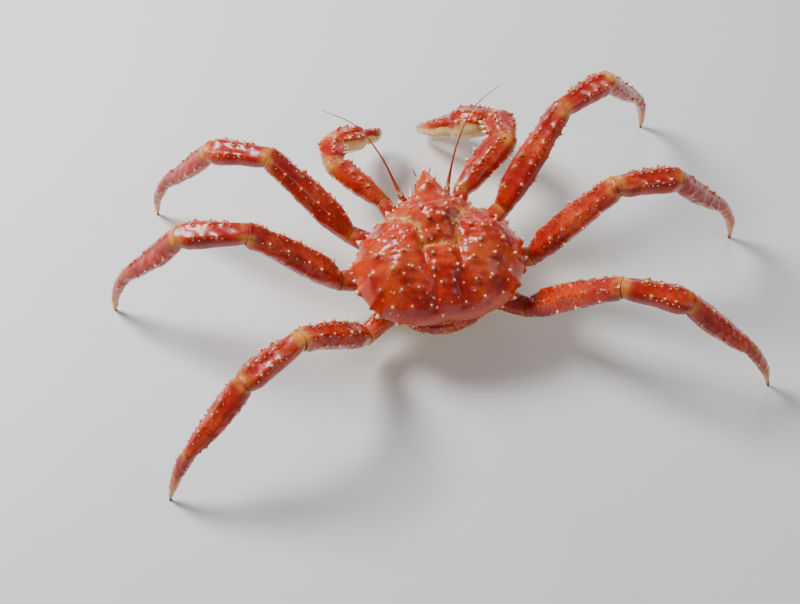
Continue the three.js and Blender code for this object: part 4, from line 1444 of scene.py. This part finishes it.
LEG_PAIRS = (
    LegPair(
        "front", 0, (48, 28), 36, 0.95, {"carpus": -8, "propodus": -52, "dactylus": -74}, -10,
        {Side.RIGHT: 3, Side.LEFT: -2},
    ),
    LegPair(
        "middle", 1, (57, -4), 4, 1.0, {"carpus": -9, "propodus": -49, "dactylus": -72}, 4,
        {Side.RIGHT: -2, Side.LEFT: 3},
    ),
    LegPair(
        "rear", 2, (49, -37), -31, 0.97, {"carpus": -6, "propodus": -41, "dactylus": -64}, 6,
        {Side.RIGHT: 2, Side.LEFT: -3},
    ),
)


@dataclass(frozen=True)
class WalkingLeg:
    """One walking leg: base, merus, carpus, propodus and dactylus."""

    stance: Stance
    side: Side
    pair: LegPair
    limits: Array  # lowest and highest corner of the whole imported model
    grain: Grain = Grain(0.25, 0.35, 18, 61, 0.2)
    lengths: dict[str, float] = field(
        default_factory=lambda: {"base": 54, "merus": 142, "carpus": 73, "propodus": 108, "dactylus": 84}
    )
    bows: dict[str, float] = field(
        default_factory=lambda: {"merus": 3.5, "carpus": 1, "propodus": -2, "dactylus": 5}
    )
    forms: Forms = field(
        default_factory=lambda: {
            "base": ((0, 13, 11.5), (0.35, 14, 12), (0.75, 13, 11.5), (1, 11.5, 10.5)),
            "merus": (
                (0, 11, 10), (0.08, 13.5, 11.5), (0.26, 17.5, 13.5), (0.55, 17, 13), (0.82, 14.5, 11.5),
                (0.93, 15, 12), (1, 13, 10.5),
            ),
            "carpus": ((0, 11.5, 10), (0.14, 13, 11.5), (0.5, 14.5, 12), (0.84, 16, 12.5), (1, 13.5, 11)),
            "propodus": (
                (0, 12, 10), (0.1, 14, 11.5), (0.35, 14.5, 11.5), (0.7, 12, 9.5), (0.93, 9.5, 8), (1, 8.5, 7),
            ),
            "dactylus": (
                (0, 7.4, 6.4), (0.08, 8.4, 7.4), (0.3, 7.4, 6.8), (0.6, 5.6, 5.4), (0.85, 3.2, 3.4),
                (1, 1.5, 1.5),
            ),
        }
    )
    rows: Rows = field(
        default_factory=lambda: {
            "base": (SpineRow(70, 0.5, 0.8, 2, 4.5),),
            "merus": (
                SpineRow(12, 0.14, 0.92, 5, 5.5), SpineRow(62, 0.1, 0.95, 5, 6.5),
                SpineRow(120, 0.2, 0.93, 4, 5), SpineRow(175, 0.3, 0.9, 3, 5),
            ),
            "carpus": (
                SpineRow(15, 0.25, 0.85, 3, 6), SpineRow(65, 0.2, 0.9, 3, 6.5),
                SpineRow(125, 0.3, 0.85, 3, 5),
            ),
            "propodus": (
                SpineRow(10, 0.1, 0.9, 5, 4.8), SpineRow(80, 0.12, 0.85, 3, 4.6),
                SpineRow(170, 0.12, 0.9, 4, 4.4),
            ),
            "dactylus": (SpineRow(20, 0.12, 0.45, 2, 3.4), SpineRow(160, 0.12, 0.3, 1, 3.2)),
        }
    )

    def plates(self) -> dict[str, LimbPlate]:
        """The leg's plates from the hip to the foot."""
        scale, variation = self.pair.scale, self.pair.variations[self.side]
        lengths = {name: value * scale for name, value in self.lengths.items()}
        bearing = self.pair.sweep + variation
        inner, knee = Hip(self.stance, self.side, *self.pair.hip, bearing, lengths["base"]).line()
        slopes = dict(self.pair.lifts)
        slopes["carpus"] += variation
        drop = sum(lengths[name] * math.sin(math.radians(slopes[name])) for name in slopes)
        slopes["merus"] = math.degrees(math.asin((-knee[2] - drop) / lengths["merus"]))
        axes = {
            name: heading(self.side, bearing + (0 if name == "merus" else self.pair.turn), slopes[name])
            for name in self.bows
        }
        bows = {name: scale * value for name, value in self.bows.items()}
        ends, sizes = (inner, knee), (scale, scale)
        made, joint, plane = limb_chain(self.side, ends, axes, lengths, self.forms, sizes, bows)
        foot = "dactylus"
        made[foot] = LimbPlate(
            joint + plane * GAP / 2, joint + axes[foot] * lengths[foot], self.side, self.forms[foot],
            plane, -UP, scale, bows[foot],
        )
        return made

    def build(self, shell: Material, skin: Material) -> None:
        """Makes and hands over the leg.

        Args:
            shell: Material of its plates.
            skin: Material of its joint skins.
        """
        label = f"leg_{self.side.label}_{self.pair.name}"
        seed = 100 * (self.pair.number + 1) + 37 * self.side.value
        plates = self.plates()
        for i, (name, plate) in enumerate(plates.items()):
            piece = plate.body(f"{label}_{name}_shell", self.rows[name])
            seeds = seed + 400 * i, seed + 400 * i + 200
            spines, fine = dress(piece, plate, self.rows[name], seeds, self.grain, i)
            points = np.clip(read_points(piece), *self.limits)
            set_points(piece, points)
            share, pale, near = lengthwise(plate, points)
            paint_spines(piece, spines, fine)
            if name == "dactylus":
                pale, near = 0.5 * pale, near * (share < 0.5)
                paint(piece, nail=ease(0.84, 0.93, share), amber=ease(0.25, 0.8, share))
            paint(piece, pale=pale, joint=near)
            hand_over(piece, Slot.LEG, shell, f"{label}_{name}")
        joint_skin(list(plates.values()), f"{label}_joint_skins", skin, Slot.LEG)


@dataclass(frozen=True)
class Claw:
    """One claw: base, merus, carpus, palm with its fixed finger, and moving finger."""

    parts: ClassVar[tuple[str, ...]] = ("base", "merus", "carpus", "chela")

    stance: Stance
    side: Side
    size: float
    sweeps: dict[str, float]
    lifts: dict[str, float]
    hip: tuple[float, float] = (28, 51)
    roll: float = math.radians(38)
    grain: Grain = Grain(0.28, 0.4, 20, 81, 0.25)
    lengths: dict[str, float] = field(
        default_factory=lambda: {"base": 44, "merus": 78, "carpus": 46, "chela": 122}
    )
    forms: Forms = field(
        default_factory=lambda: {
            "base": ((0, 12, 11), (0.4, 12.5, 11.5), (1, 10.5, 10)),
            "merus": ((0, 10.5, 10), (0.12, 13, 12), (0.5, 16, 14), (0.88, 17, 14.5), (1, 14, 12)),
            "carpus": ((0, 12.5, 11.5), (0.25, 16, 14.5), (0.75, 18, 16), (1, 13.5, 12.5)),
            "palm": (
                (0, 12, 11, 0), (0.07, 16, 14, 0), (0.22, 25, 18.5, 1), (0.38, 28.5, 20, 1),
                (0.47, 26, 18.5, -1),
                (0.56, 17, 14.5, -9), (0.68, 11.5, 11.5, -14), (0.82, 8.5, 9, -13.5), (0.93, 5.5, 6, -9.5),
                (1, 2, 2.2, -5),
            ),
            "finger": (
                (0.43, 9, 10, 16), (0.52, 11.5, 12, 19), (0.62, 11.5, 11.5, 20), (0.74, 9.5, 9.5, 18),
                (0.86, 7, 7.2, 12), (0.95, 4.4, 4.8, 5.5), (1, 2, 2.2, 0.5),
            ),
        }
    )
    rows: Rows = field(
        default_factory=lambda: {
            "base": (SpineRow(60, 0.5, 0.8, 2, 4.5),),
            "merus": (
                SpineRow(15, 0.3, 0.92, 3, 7), SpineRow(90, 0.25, 0.95, 4, 6.5),
                SpineRow(165, 0.4, 0.9, 3, 5),
            ),
            "carpus": (
                SpineRow(15, 0.2, 0.85, 3, 8.5), SpineRow(75, 0.2, 0.85, 3, 7),
                SpineRow(140, 0.25, 0.8, 3, 5.5),
            ),
            "palm": (
                SpineRow(12, 0.1, 0.36, 3, 7), SpineRow(48, 0.1, 0.4, 3, 6), SpineRow(95, 0.12, 0.44, 3, 5),
                SpineRow(150, 0.14, 0.55, 3, 4),
            ),
            "finger": (SpineRow(40, 0.5, 0.72, 3, 4),),
        }
    )
    tooth_shares: dict[str, tuple[float, ...]] = field(
        default_factory=lambda: {"palm": (0.63, 0.72, 0.81, 0.89), "finger": (0.61, 0.7, 0.79, 0.87)}
    )
    tooth_radii: tuple[float, ...] = (4.6, 4, 3.3, 2.6)

    def plates(self) -> dict[str, LimbPlate]:
        """The claw's plates from the hip to the fingers."""
        arm = 0.4 + 0.6 * self.size
        axes = {name: heading(self.side, self.sweeps[name], self.lifts[name]) for name in self.lifts}
        ends = Hip(self.stance, self.side, *self.hip, self.sweeps["base"], self.lengths["base"]).line()
        lengths = {name: value * arm for name, value in self.lengths.items()}
        sizes = arm, self.size
        made, joint, wrist = limb_chain(self.side, ends, axes, lengths, self.forms, sizes, {})
        tip = joint + axes["chela"] * self.lengths["chela"] * self.size
        for name in ("palm", "finger"):
            made[name] = LimbPlate(
                joint + wrist * GAP / 2, tip, self.side, self.forms[name], wrist, size=self.size,
                roll=self.roll,
            )
        return made

    def teeth(self, plate: LimbPlate, name: str) -> list[tuple[Array, float]]:
        """Middle and radius of each rounded tooth on a finger's biting edge."""
        towards = 1 if name == "palm" else -1
        found = []
        for share, radius in zip(self.tooth_shares[name], self.tooth_radii):
            half_height, _, shift = plate.table.read(np.array([share]))[0]
            edge = (shift + towards * (half_height - 1)) * self.size
            middle = plate.start + plate.axis * plate.length * share + plate.front * edge
            found.append((middle, radius * self.size))
        return found

    @staticmethod
    def tooth_mesh(plate: LimbPlate, teeth: Sequence[tuple[Array, float]], name: str) -> Piece:
        """All the teeth of a finger as one mesh."""
        master, direction = blank_ball(name, 9)
        along = np.outer(direction @ plate.axis, plate.axis) * 0.12
        stretch = along + np.outer(direction @ plate.top, plate.top) * 0.25
        places = [middle + (direction + stretch) * radius for middle, radius in teeth]
        return join_copies(name, master, places)

    def build(self, shell: Material, skin: Material) -> None:
        """Makes and hands over the claw.

        Args:
            shell: Material of its plates.
            skin: Material of its joint skins.
        """
        label = f"claw_{self.side.label}"
        seed = 900 + 53 * self.side.value
        plates = self.plates()
        steps = {"base": 0, "merus": 200, "carpus": 400, "palm": 700, "finger": 800}
        for i, (name, plate) in enumerate(plates.items()):
            piece = self.plate_body(plate, f"{label}_{name}_shell", name, 112 if name == "palm" else 80)
            seeds = seed + steps[name], seed + steps[name] + 3000
            spines, fine = dress(piece, plate, self.rows[name], seeds, self.grain, i)
            bites = name in self.tooth_shares
            teeth = self.teeth(plate, name) if bites else []
            if bites:
                combine(piece, self.tooth_mesh(plate, teeth, f"{label}_{name}_teeth"))
            points = read_points(piece)
            share, pale, near = lengthwise(plate, points)
            paint_spines(piece, spines, fine)
            if bites:
                away = [np.linalg.norm(points - middle, axis=1) / radius for middle, radius in teeth]
                _, angle = plate.local(points)
                pale = ease(0.15, -0.25, np.sin(angle) + 0.16 * ripple(points, 16, 5))
                near = near * (share < 0.9)
                paint(
                    piece, nail=ease(0.93, 0.965, share), amber=0.5 * ease(0.5, 0.9, share),
                    tooth=np.maximum.reduce([ease(1.4, 1.28, far) * ease(0.3, 0.6, far) for far in away]),
                    dots=ease(0.42, 0.6, share) * ease(0.985, 0.93, share) + 0.45 * pale,
                )
            paint(piece, pale=pale, joint=near)
            hand_over(piece, Slot.CLAW, shell, f"{label}_{name}")
        joint_skin(list(plates.values())[:4], f"{label}_joint_skins", skin, Slot.CLAW)

    def plate_body(self, plate: LimbPlate, name: str, part: str, sides: int) -> Piece:
        """A plate's body; the moving finger's starts part of the way along the palm."""
        if part != "finger":
            return plate.body(name, self.rows[part], 1.3, sides)
        first = plate.table.shares[0]
        rings = 70
        piece, ring, reach, angle = blank_tube(name, sides, rings)
        share = first + (1 - first) * ring / (rings - 1)
        set_points(piece, plate.at(share, angle, reach))
        return piece


# Finishes


def linear(hex_code: str) -> tuple[float, float, float, float]:
    """An sRGB hex colour as the linear colour that a shader takes."""
    values = [int(hex_code[i : i + 2], 16) / 255 for i in (0, 2, 4)]
    red, green, blue = (v / 12.92 if v <= 0.04045 else ((v + 0.055) / 1.055) ** 2.4 for v in values)
    return red, green, blue, 1.0


class Shader:
    """A material's node tree, with short ways to add what the finishes share."""

    def __init__(self, name: str) -> None:
        self.material = bpy.data.materials.new(name)
        self.material.use_nodes = True
        self.tree = self.material.node_tree
        self.tree.nodes.clear()
        self.place = self.add("ShaderNodeTexCoord").outputs["Object"]

    def add(self, kind: str, links: dict | None = None, **settings: object) -> bpy.types.Node:
        """Adds a node; each link is a value or another node's output."""
        node = self.tree.nodes.new(kind)
        for name, value in settings.items():
            setattr(node, name, value)
        for name, value in (links or {}).items():
            if isinstance(value, Socket):
                self.tree.links.new(value, node.inputs[name])
            else:
                node.inputs[name].default_value = value
        return node

    def layer(self, name: str) -> Socket:
        """One of the numbers stored on the mesh."""
        return self.add("ShaderNodeAttribute", attribute_name=name).outputs["Fac"]

    def noise(self, size: float, detail: float = 3.0, roughness: float = 0.55) -> Socket:
        """Soft noise with lumps about size millimetres across."""
        links = {"Vector": self.place, "Scale": 1 / (size * MM), "Detail": detail, "Roughness": roughness}
        return self.add("ShaderNodeTexNoise", links).outputs["Fac"]

    def cells(self, size: float, randomness: float = 1.0) -> Socket:
        """Distance from the middle of cells about size millimetres across."""
        links = {"Vector": self.place, "Scale": 1 / (size * MM), "Randomness": randomness}
        return self.add("ShaderNodeTexVoronoi", links).outputs["Distance"]

    def band(self, value: Socket, low: float, high: float) -> Socket:
        """0 below low and 1 above high, smooth between; low may be the larger."""
        links = {"Value": value, "From Min": min(low, high), "From Max": max(low, high)}
        if low > high:
            links |= {"To Min": 1.0, "To Max": 0.0}
        return self.add("ShaderNodeMapRange", links, interpolation_type="SMOOTHSTEP").outputs["Result"]

    def sums(self, operation: str, first: object, *others: object) -> Socket:
        """A sum, product or the like of values."""
        for other in others:
            first = self.add("ShaderNodeMath", {0: first, 1: other}, operation=operation).outputs["Value"]
        return first

    def times(self, first: object, *others: object) -> Socket:
        """The product of values."""
        return self.sums("MULTIPLY", first, *others)

    def tint(self, factor: object, under: object, over: object) -> Socket:
        """One colour laid over another; a colour is a hex code or a node's output."""
        under, over = (linear(colour) if isinstance(colour, str) else colour for colour in (under, over))
        return self.add("ShaderNodeMix", {0: factor, 6: under, 7: over}, data_type="RGBA").outputs[2]

    def bump(self, height: Socket, depth: float, strength: float = 0.6) -> Socket:
        """A fine relief of a depth in millimetres."""
        links = {"Height": height, "Strength": strength, "Distance": depth * MM}
        return self.add("ShaderNodeBump", links).outputs["Normal"]

    def finish(self, links: dict) -> Material:
        """Ends the tree with a surface of the given values."""
        shader = self.add("ShaderNodeBsdfPrincipled", links)
        output = self.add("ShaderNodeOutputMaterial")
        self.tree.links.new(shader.outputs["BSDF"], output.inputs["Surface"])
        return self.material


@dataclass(frozen=True)
class CookedShell:
    """Crab shell after cooking: chitin and lime with its red pigment set free, wet and smooth.

    It gives a saturated orange-red with warmer blotches, a clear gloss with sharp highlights, and
    cream where the living shell was pale.
    """

    name: str
    deep: str = "9c0f06"
    main: str = "cc2009"
    light: str = "e2551a"
    warm: str = "c8551f"
    pale: str = "e8cb8c"
    pale_blush: str = "e39a4e"
    seam: str = "f6c66a"
    amber: str = "e69429"
    tip: str = "fbe2b2"
    tip_end: str = "42200f"
    nail: str = "171110"
    tooth: str = "f6f1e6"
    dot: str = "1d1814"
    blotch: float = 21.0
    roughness: float = 0.24
    coat: float = 0.34
    pit: float = 1.6

    def colour(self, shader: Shader, cloud: object, grain: object, tuft: object) -> Socket:
        """The colour over the whole shell.

        Args:
            shader: The material being made.
            cloud: Broad noise.
            grain: Fine noise.
            tuft: 1 at a dark tuft of bristle.

        Returns:
            The colour's output.
        """
        sums, times, tint, band, layer = shader.sums, shader.times, shader.tint, shader.band, shader.layer
        colour = tint(band(cloud, 0.34, 0.6), self.deep, self.main)
        patch = times(band(shader.noise(self.blotch * 1.9, 2.0), 0.46, 0.7), band(grain, 0.3, 0.62))
        speck = band(shader.cells(self.pit * 1.1), 0.16, 0.4)
        glow = times(layer("warm"), band(cloud, 0.25, 0.6))
        frayed = sums("ADD", layer("pale"), times(sums("SUBTRACT", grain, 0.5), 0.5))
        cream = tint(times(band(cloud, 0.42, 0.7), 0.5), self.pale, self.pale_blush)
        height = layer("tip")
        for factor, over in (
            (times(patch, 0.7), self.light),
            # Broad warm areas, browner and dotted with red
            (times(glow, sums("ADD", times(speck, 0.45), 0.35)), self.warm),
            # Painted shade: deep red laid along the sunken seams, where shade falls
            (times(layer("sunken"), 0.35), self.deep),
            (times(layer("edge"), 0.45), self.light),
            # The pale underside, with a band of orange where it meets the red
            (band(frayed, 0.1, 0.4), self.pale_blush),
            (band(frayed, 0.42, 0.8), cream),
            # Joints and the outer part of the foot are orange-yellow
            (times(layer("amber"), band(grain, 0.15, 0.5)), self.amber),
            (times(layer("joint"), band(cloud, 0.3, 0.7), 0.75), self.seam),
            (times(layer("seam"), band(shader.noise(5.0, 4.0), 0.32, 0.55)), self.seam),
            # Spines stand in an orange ring, turn cream near the tip and horn-brown at the very end
            (times(layer("halo"), band(grain, 0.3, 0.62), 0.75), self.light),
            (band(height, 0.06, 0.3), self.light),
            (band(height, 0.18, 0.45), self.tip),
            (times(band(height, 0.86, 0.98), 0.55), self.tip_end),
            (layer("tooth"), self.tooth),
            (times(tuft, 0.92), self.dot),
            (layer("nail"), self.nail),
        ):
            colour = tint(factor, colour, over)
        return colour

    def make(self) -> Material:
        """The finish as a Blender material."""
        shader = Shader(self.name)
        cloud = shader.noise(self.blotch)
        grain = shader.noise(self.blotch / 5, 5.0, 0.6)
        # Small black tufts of bristle on the fingers, about 4 mm apart
        tuft = shader.times(shader.band(shader.cells(4.2, 0.85), 0.21, 0.13), shader.layer("dots"))
        colour = self.colour(shader, cloud, grain, tuft)
        dents = shader.times(shader.band(shader.cells(self.pit), 0.0, 0.28), 0.5)
        fine = shader.times(shader.noise(0.7, 4.0), 0.16)
        raised = shader.sums("ADD", dents, shader.times(grain, 1.1), fine)
        relief = shader.sums("SUBTRACT", raised, shader.times(tuft, 0.8))
        low, high = self.roughness - 0.07, self.roughness + 0.12
        gloss = shader.add("ShaderNodeMapRange", {"Value": grain, "To Min": low, "To Max": high})
        return shader.finish({
            "Base Color": colour, "Roughness": gloss.outputs["Result"], "IOR": 1.44, "Coat Weight": self.coat,
            "Coat Roughness": 0.06, "Coat IOR": 1.42, "Normal": shader.bump(relief, 0.55),
        })


@dataclass(frozen=True)
class JointSkin:
    """The soft skin between plates: thin cuticle, cream and slightly wrinkled, with painted shade darkening
    the hollows of the wrinkles.
    """

    name: str = "joint cuticle, cooked"
    main: str = "e3bb84"
    dark: str = "b5683a"

    def make(self) -> Material:
        """The finish as a Blender material."""
        shader = Shader(self.name)
        fold_relief_and_shade = shader.noise(3.0, 4.0)
        # Painted shade: the noise that raises the wrinkles also darkens the colour to orange-brown where they
        # sink
        colour = shader.tint(fold_relief_and_shade, self.dark, self.main)
        relief = shader.bump(fold_relief_and_shade, 0.6, 0.5)
        return shader.finish({"Base Color": colour, "Roughness": 0.42, "Normal": relief})


@dataclass(frozen=True)
class EyeGloss:
    """Stalked eye: orange-brown cuticle below, the cornea black and wet."""

    name: str = "crab eye, wet"
    stalk: str = "a8401c"
    cornea: str = "0b0908"

    def make(self) -> Material:
        """The finish as a Blender material."""
        shader = Shader(self.name)
        colour = shader.tint(shader.layer("nail"), self.stalk, self.cornea)
        facets = shader.bump(shader.cells(0.35), 0.1, 0.25)
        return shader.finish({"Base Color": colour, "Roughness": 0.12, "Coat Weight": 0.6, "Normal": facets})


@dataclass(frozen=True)
class Bristle:
    """Stiff bristle of chitin without lime: golden brown, slightly glossy, darker in places."""

    name: str = "chitin bristle, golden brown"
    main: str = "a8712f"
    dark: str = "5e3714"

    def make(self) -> Material:
        """The finish as a Blender material."""
        shader = Shader(self.name)
        streak = shader.noise(1.6, 2.0)
        colour = shader.tint(shader.band(streak, 0.35, 0.65), self.dark, self.main)
        relief = shader.bump(streak, 0.1, 0.3)
        return shader.finish({"Base Color": colour, "Roughness": 0.38, "Normal": relief})


@dataclass(frozen=True)
class FloorPaint:
    """Matt paint on a studio floor, off-white with hardly any cloud in it."""

    name: str = "painted studio floor"
    main: str = "e9eaec"
    light: str = "f1f1f0"

    def make(self) -> Material:
        """The finish as a Blender material."""
        shader = Shader(self.name)
        colour = shader.tint(shader.noise(400.0), self.main, self.light)
        return shader.finish({"Base Color": colour, "Roughness": 0.6})


# Studio


@dataclass(frozen=True)
class Studio:
    """The pale floor, the soft lights and the camera."""

    azimuth: float = -10.0
    elevation: float = 60.0
    lens: float = 64.0
    sensor: float = 36.0
    frame: tuple[int, int] = (800, 604)
    shell_pixel: tuple[float, float] = (440.0, 245.0)
    scale: float = 0.92  # pixels for each millimetre at the shell
    aim: tuple[float, float, float] = (0.0, 0.0, 40.0)  # the shell's middle in the body's own frame

    def camera(self, shell: Array) -> None:
        """Aims the camera so that the shell's middle falls on its place in the picture.

        Args:
            shell: The shell's middle, in millimetres.
        """
        focal = self.lens / self.sensor * self.frame[0]
        a, e = math.radians(self.azimuth), math.radians(self.elevation)
        back = Vector((math.sin(a) * math.cos(e), -math.cos(a) * math.cos(e), math.sin(e)))
        turn = back.to_track_quat("Z", "Y")
        distance = focal / self.scale * MM
        across = (self.shell_pixel[0] - self.frame[0] / 2) / focal
        down = (self.shell_pixel[1] - self.frame[1] / 2) / focal
        ray = turn @ (Vector((across, -down, -1)) * distance)
        data = bpy.data.cameras.new("camera")
        data.lens, data.sensor_width = self.lens, self.sensor
        data.clip_start, data.clip_end = 0.05, 50
        camera = bpy.data.objects.new("camera", data)
        camera.location = Vector(shell * MM) - ray
        camera.rotation_mode = "QUATERNION"
        camera.rotation_quaternion = turn
        bpy.context.scene.collection.objects.link(camera)
        bpy.context.scene.camera = camera

    def lights(self) -> None:
        """A large soft light from the upper left, a weaker one from the right and a pale surround."""
        for name, place, size, power in (
            ("key", (-1.05, 0.85, 1.6), 0.68, 56),
            ("fill", (1.5, -1.1, 1.5), 1.5, 11),
            ("back", (0.9, 1.8, 1.1), 0.9, 10),
        ):
            data = bpy.data.lights.new(name, "AREA")
            data.size, data.energy = size, power
            light = bpy.data.objects.new(name, data)
            light.location = place
            light.rotation_mode = "QUATERNION"
            light.rotation_quaternion = (Vector(place) - Vector((0, 0, 0.08))).to_track_quat("Z", "Y")
            bpy.context.scene.collection.objects.link(light)
        world = bpy.data.worlds.new("studio")
        world.use_nodes = True
        surround = world.node_tree.nodes["Background"].inputs
        surround["Color"].default_value = linear("e6ebf2")
        surround["Strength"].default_value = 0.25
        bpy.context.scene.world = world

    def floor(self) -> None:
        """The floor that the crab stands on."""
        floor = blank_mesh("floor", bpy.ops.mesh.primitive_plane_add, size=12)
        floor.data.materials.append(FloorPaint().make())
        floor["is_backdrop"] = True


def corners(box: tuple[Vector, Vector]) -> list[list[float]]:
    """A box's two corners as plain lists."""
    return [list(corner) for corner in box]


def main() -> None:
    """Builds the crab, its studio and the camera."""
    logging.basicConfig(level=logging.INFO, format="%(message)s")
    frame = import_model()
    cad_box = corners(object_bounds())
    LOG.info("%d packed solids", len(frame["nodes"]))
    limits = np.array(cad_box) / MM * 0.99999  # a hair inside, against rounding
    stance = Stance()
    studio = Studio()
    studio.camera(stance.place(np.array(studio.aim)))
    studio.lights()
    studio.floor()

    carapace_finish = CookedShell("cooked crab shell, carapace").make()
    leg_finish = CookedShell("cooked crab shell, legs", main="b8220e", seam="efa944", roughness=0.25).make()
    claw_finish = CookedShell("cooked crab shell, claws", main="b4240e", seam="efa944").make()
    pale_finish = CookedShell("cooked crab shell, underside", pale="ead2a0").make()
    skin = JointSkin().make()
    Carapace(stance).build(carapace_finish)
    Thorax(stance).build(pale_finish)
    Abdomen(stance, thorax=Thorax(stance)).build(pale_finish)

    eye = Feeler(
        stance, "eye", Slot.EYE, ((8, 62, 6), (8.8, 76, 8), (9.6, 87, 10)), (3.2, 3, 2.8, 3.8, 4.3, 3.5, 1.5),
        sides=40, dark_from=0.52,
    )
    antenna = Feeler(
        stance, "antenna", Slot.FEELER,
        ((21, 56, -13), (25, 78, -13), (31, 96, -6), (44, 126, 14), (68, 160, 30), (102, 182, 34)),
        (5.4, 4.9, 2.4, 1.3, 1.05, 0.9, 0.75, 0.6, 0.45, 0.3), rings=420, ring_pitch=1.6, ring_depth=0.06,
        joints=(0.108, 0.152, 0.2), spikes=((0.1, (1, 0.75, 0.1), 6.5), (0.145, (0.2, 0.8, 0.9), 4)),
    )
    antennule = Feeler(
        stance, "antennule", Slot.FEELER, ((4.6, 62, -7), (5, 84, -7), (6.5, 96, 0), (10, 105, 10)),
        (2.4, 2.2, 1.8, 1.1, 0.8, 0.5), ring_pitch=1.4, ring_depth=0.07, joints=(0.35, 0.62),
    )
    mouth_leg = Feeler(
        stance, "mouth_leg", Slot.PALE,
        ((8.6, 44, -37), (9, 62, -37), (9.8, 74, -31), (9.6, 81, -37), (8.4, 79, -49), (7.2, 73, -60)),
        (6, 6.2, 6.1, 5.4, 5.8, 5, 5.2, 4.6, 3.4, 1.6), sides=36, joints=(0.34, 0.56, 0.76), blush=0.3,
        spikes=((0.3, (0.5, 0.7, 0.8), 3.4), (0.5, (0.6, 1, 0.2), 2.8)),
    )
    palp = Feeler(
        stance, "mouth_palp", Slot.PALE,
        ((3.2, 50, -41), (3.4, 61, -41), (3.5, 66.5, -37), (3.4, 68, -44), (3.1, 66, -51)),
        (2.6, 2.8, 2.7, 2.5, 2.4, 1.9, 1.1), sides=24, joints=(0.5, 0.72), blush=0.55, stands=False,
    )
    bristle_finish = Bristle().make()
    feeler_finish = CookedShell("cooked crab shell, feelers", main="a8401c", light="c9662c", coat=0.2).make()
    eye_finish = EyeGloss().make()
    # Size, bearings and lifts of the claws: the right one is the larger
    holds = {
        Side.RIGHT: (1.0, (64, 38, 88, 148), (16, -22, -33)),
        Side.LEFT: (0.82, (64, 44, 92, 142), (18, -18, -36)),
    }
    for side in Side:
        eye.build(side, eye_finish)
        antenna.build(side, feeler_finish)
        antennule.build(side, feeler_finish)
        mouth_leg.build(side, pale_finish)
        palp.build(side, pale_finish)
        MouthBristles(mouth_leg).build(side, bristle_finish)
        MouthBristles(palp, 30, 0.45, 0.97, 2.6).build(side, bristle_finish)
        for pair in LEG_PAIRS:
            WalkingLeg(stance, side, pair, limits).build(leg_finish, skin)
        size, sweeps, lifts = holds[side]
        held = dict(zip(Claw.parts, sweeps)), dict(zip(Claw.parts[1:], lifts))
        Claw(stance, side, size, *held).build(claw_finish, skin)

    {"cad": cad_box, "visual": corners(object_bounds())}


if __name__ == "__main__":
    main()
